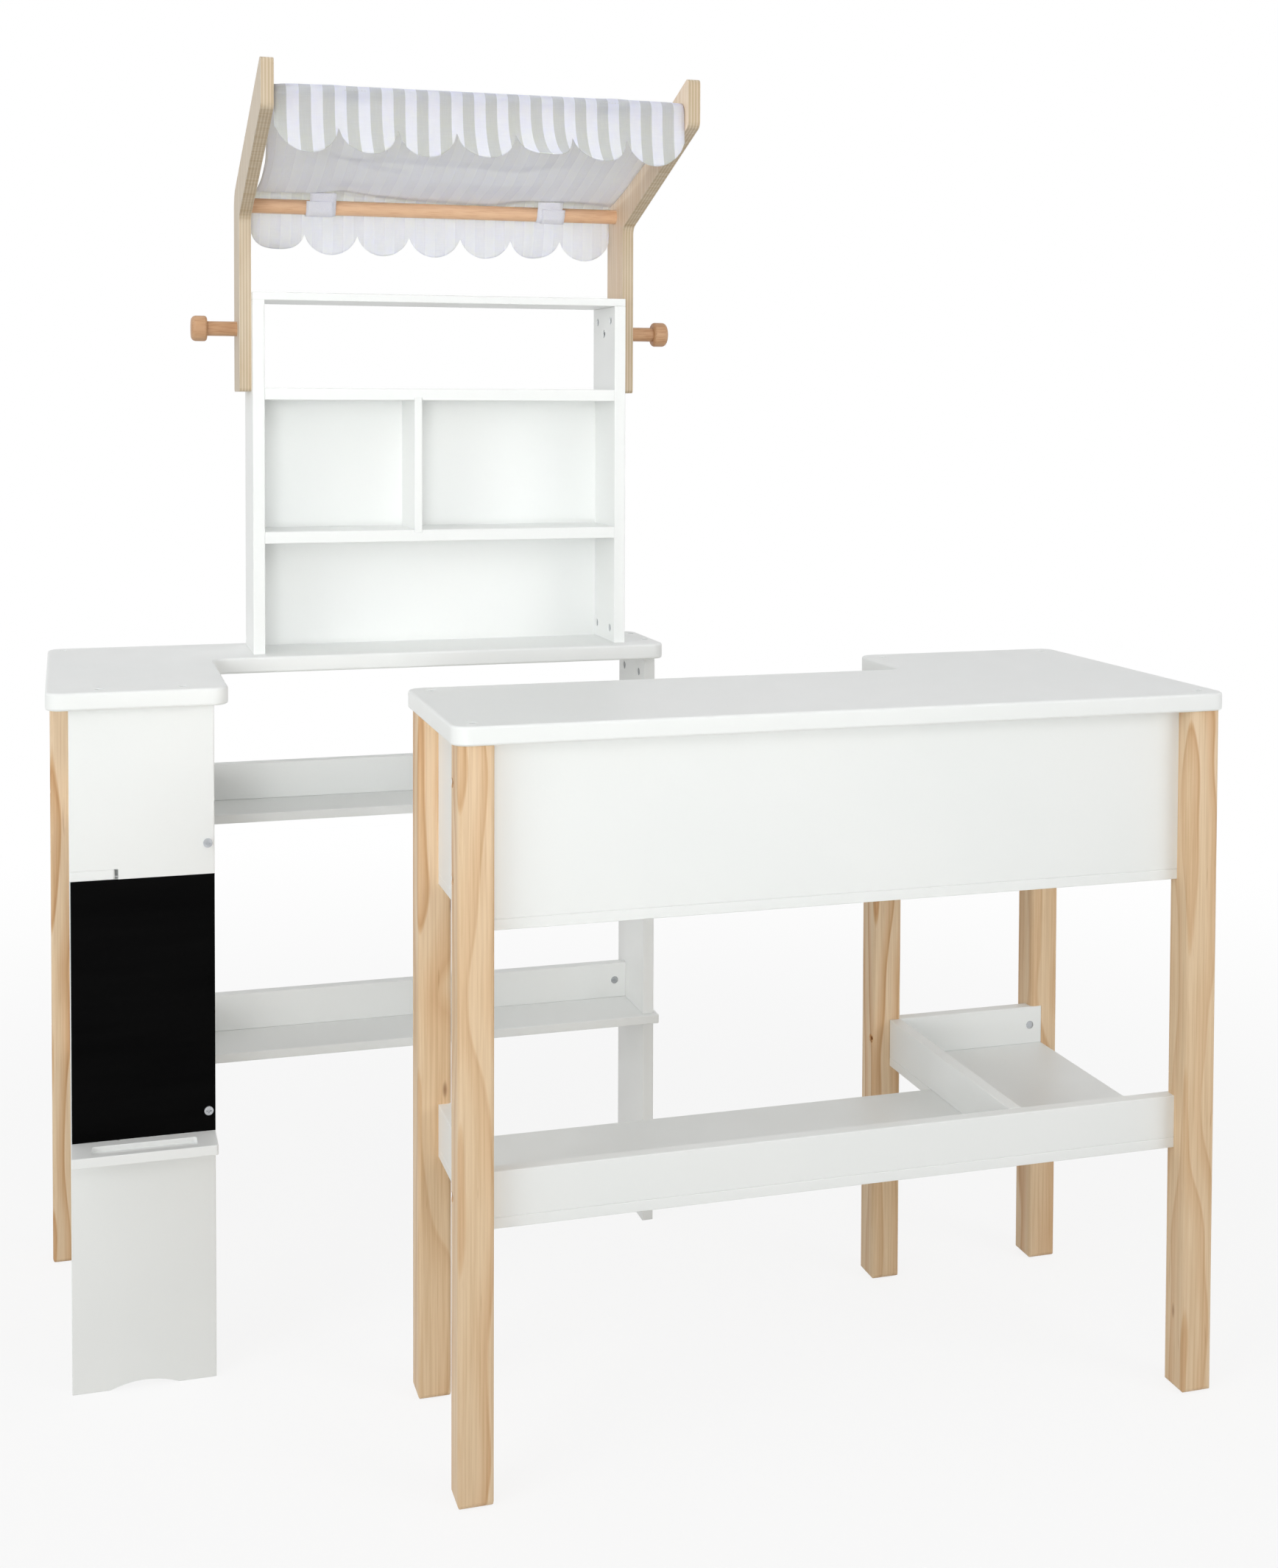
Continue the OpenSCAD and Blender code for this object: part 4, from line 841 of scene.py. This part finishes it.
# %% Where the bands are sewn on
SEAM_BACK = 0.0205
FRONT_SEAM_UP, REAR_SEAM_UP = 3, 1
ABOVE_CLOTH = 0.0005
seam_step = SEAM_BACK / span * (SLOPE_ROWS - 1)
front_slope_seam = slope_start + round(seam_step)
rear_slope_seam = slope_start + round(SLOPE_ROWS - 1 - seam_step)
rear_valance_start = rear_start + REAR_OVER_ROWS - 1
seam_rows = [
    FRONT_ROWS + FRONT_SEAM_UP, front_slope_seam, rear_slope_seam, rear_valance_start - REAR_SEAM_UP,
]


def on_cloth(row, x):
    """A point just above the cloth's outer side, at a row of its grid and a place on X, and the way out."""
    column = int(np.argmin(np.abs(columns - x)))
    along = cloth_points[row + 1, column, 1:] - cloth_points[row - 1, column, 1:]
    normal = np.array([-along[1], along[0]]) / np.linalg.norm(along)
    return cloth_points[row, column, 1:] + normal * ABOVE_CLOTH, normal


print("seams in rows", seam_rows)

# %% Paths of the two halves of a band
BAND_T, BAND_ROOM, BAND_STEP = 0.0009, 0.0006, 0.0011
SEAM_DEPTH, CLOTH_GAP = 0.0018, 0.0010
UNDER_TURN = np.linspace(0.03, 1.1, 18)
SETTLE_SHARE, CLIMB_ENDS, CLIMB_TURN = 0.3, 1.15, 0.35
TAIL = np.linspace(0.0008, 0.0085, 9)[:, None]
ALONG_LEAD, ALONG_ROUND = np.linspace(0, 1, 14)[:, None], np.linspace(0, 1, 60)
inner_r = dowel_r + BAND_ROOM


def ring_points(axis, angles, radii):
    """Points at the given angles and radii round a dowel's axis, as (Y, Z)."""
    return np.stack([axis[0] + radii * np.cos(angles), axis[1] + radii * np.sin(angles)], axis=-1)


def band_halves(axis, side, x):
    """The slope half, a tangent from its seam and an arc; and the valance half, an arc that ends along it.

    The second half starts just inside the cloth, settles on the dowel by the square of the way left, and
    climbs by one layer of tape before it meets the first half.
    """
    place, normal = on_cloth(rear_slope_seam if side > 0 else front_slope_seam, x)
    seam = place - SEAM_DEPTH * normal - axis
    touch = math.atan2(seam[1], seam[0]) + side * math.acos(inner_r / np.linalg.norm(seam))
    lead = axis + seam + ALONG_LEAD * (ring_points((0, 0), touch, inner_r) - seam)
    under = ring_points(axis, touch + side * UNDER_TURN, np.full_like(UNDER_TURN, inner_r))
    begin = 0.0 if side > 0 else math.pi
    turn_end = touch - side * 2 * math.pi
    angles = begin + (turn_end - begin) * ALONG_ROUND
    settling = (1 - ALONG_ROUND / SETTLE_SHARE).clip(0) ** 2
    climbed = 1 - ((np.abs(turn_end - angles) - CLIMB_ENDS) / CLIMB_TURN).clip(0, 1)
    radii = inner_r + (cloth_r - CLOTH_GAP - inner_r) * settling + BAND_STEP * climbed
    round_part = ring_points(axis, angles, radii)
    up = (axis + seam - lead[-1]) / np.linalg.norm(axis + seam - lead[-1])
    return np.concatenate([lead, under]), np.concatenate([round_part, round_part[-1] + up * TAIL])


print("tape of", BAND_T * 1000, "mm on a radius of", round(inner_r * 1000, 2), "mm")

# %% Bands round both dowels
BAND_POINTS = 9
END_SHIFT = ((-0.0035, -0.0025), (0.0052, 0.0028))


def strip(path, left, right_end):
    """A flat strip between two places on X, carried along a path in Y and Z."""
    points = np.empty((len(path), BAND_POINTS, 3))
    points[..., 0] = np.linspace(left, right_end, BAND_POINTS)
    points[..., 1:] = path[:, None, :]
    return points


bands = []
for axis, side, label in ((front_axis, -1, "front"), (rear_axis, 1, "rear")):
    for (left, right_end), (left_shift, right_shift), hand in zip(BAND_X, END_SHIFT, ("left", "right")):
        first, second = band_halves(axis, side, (left + right_end) / 2)
        shifted = strip(second, left + left_shift, right_end + right_shift)
        bands.append(surface(f"{label}_{hand}_band", strip(first, left, right_end), band_tape))
        bands.append(surface(f"{label}_{hand}_band_end", shifted, band_tape))
for band in bands:
    thicken(band, "tape_thickness", BAND_T)
print(len(bands), "band halves")

# %% [markdown]
# ## Thread
# A line of stitches shows on the cloth wherever a band is sewn on. Each stitch is a short thread that
# comes up through the cloth and goes down again, so it is a thin tube along a low arch whose ends are in
# the cloth. All stitches are worked out together as one array.

# %% Sewing thread
TWIST, TWIST_HEIGHT = (2600, 900, 900), 0.0001
sewing_thread, tree, shader, point = start_finish("sewing_thread")
twist = spots(tree, point, TWIST, detail=1)
plug(tree, shader, {
    "Base Color": tones(tree, twist, (206, 208, 208), (232, 233, 236)),
    "Normal": bumped(tree, twist, TWIST_HEIGHT, 0.5),
    "Roughness": 0.75,
})
print("made", sewing_thread.name)

# %% Stitches
STITCH, STITCH_GAP, STITCH_INSET = 0.0022, 0.0008, 0.003
THREAD_R, ARCH_HEIGHT, ARCH_DROP = 0.00022, 0.0005, 0.0001
RINGS, RING_SIDES = 9, 8
ALONG_STITCH = np.linspace(0.02, 0.98, RINGS)[:, None]


def stitch_row(left, right_end, place, normal):
    """Arches along X: x runs the stitch's length, height follows a sine, and a thin ring goes round it."""
    starts = np.arange(left, right_end - STITCH, STITCH + STITCH_GAP)[:, None, None]
    turn_round = np.arange(RING_SIDES) * 2 * np.pi / RING_SIDES
    arch = np.sin(np.pi * ALONG_STITCH)
    thick = THREAD_R * np.sqrt(arch)
    rise = ARCH_HEIGHT * arch - ARCH_DROP + thick * np.cos(turn_round)
    sideways = thick * np.sin(turn_round)
    y = place[0] + normal[0] * rise + normal[1] * sideways
    z = place[1] + normal[1] * rise - normal[0] * sideways
    return np.stack(np.broadcast_arrays(starts + ALONG_STITCH * STITCH, y, z), axis=-1)


def tube_faces(count, rings, around):
    """Faces of closed tubes: a grid whose last column joins the first, and one flat face at each end."""
    corner = np.arange(count * rings * around).reshape(count, rings, around)
    after = np.roll(corner, -1, axis=2)
    walls = np.stack([corner[:, :-1], corner[:, 1:], after[:, 1:], after[:, :-1]], axis=-1).reshape(-1, 4)
    return walls.tolist() + corner[:, 0].tolist() + corner[:, -1, ::-1].tolist()


tubes = np.concatenate([
    stitch_row(left + STITCH_INSET, right_end - STITCH_INSET, *on_cloth(row, (left + right_end) / 2))
    for left, right_end in BAND_X for row in seam_rows
])
stitches = smooth_object("awning_stitches", tubes, tube_faces(*tubes.shape[:3]), sewing_thread)
print(len(tubes), "stitches")

# %% [markdown]
# ## Handing over
# The new pieces stand for the plain solids of the awning and its bands, which are hidden, and ride on the
# shelf unit. The size the cloth was cut to is measured along the grid above.

# %% Ride and replace
for piece in (awning, stitches, *bands):
    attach(piece, "shelf_unit")
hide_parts("awning")
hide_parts("awning_straps")
print("handed over", 2 + len(bands), "new pieces")
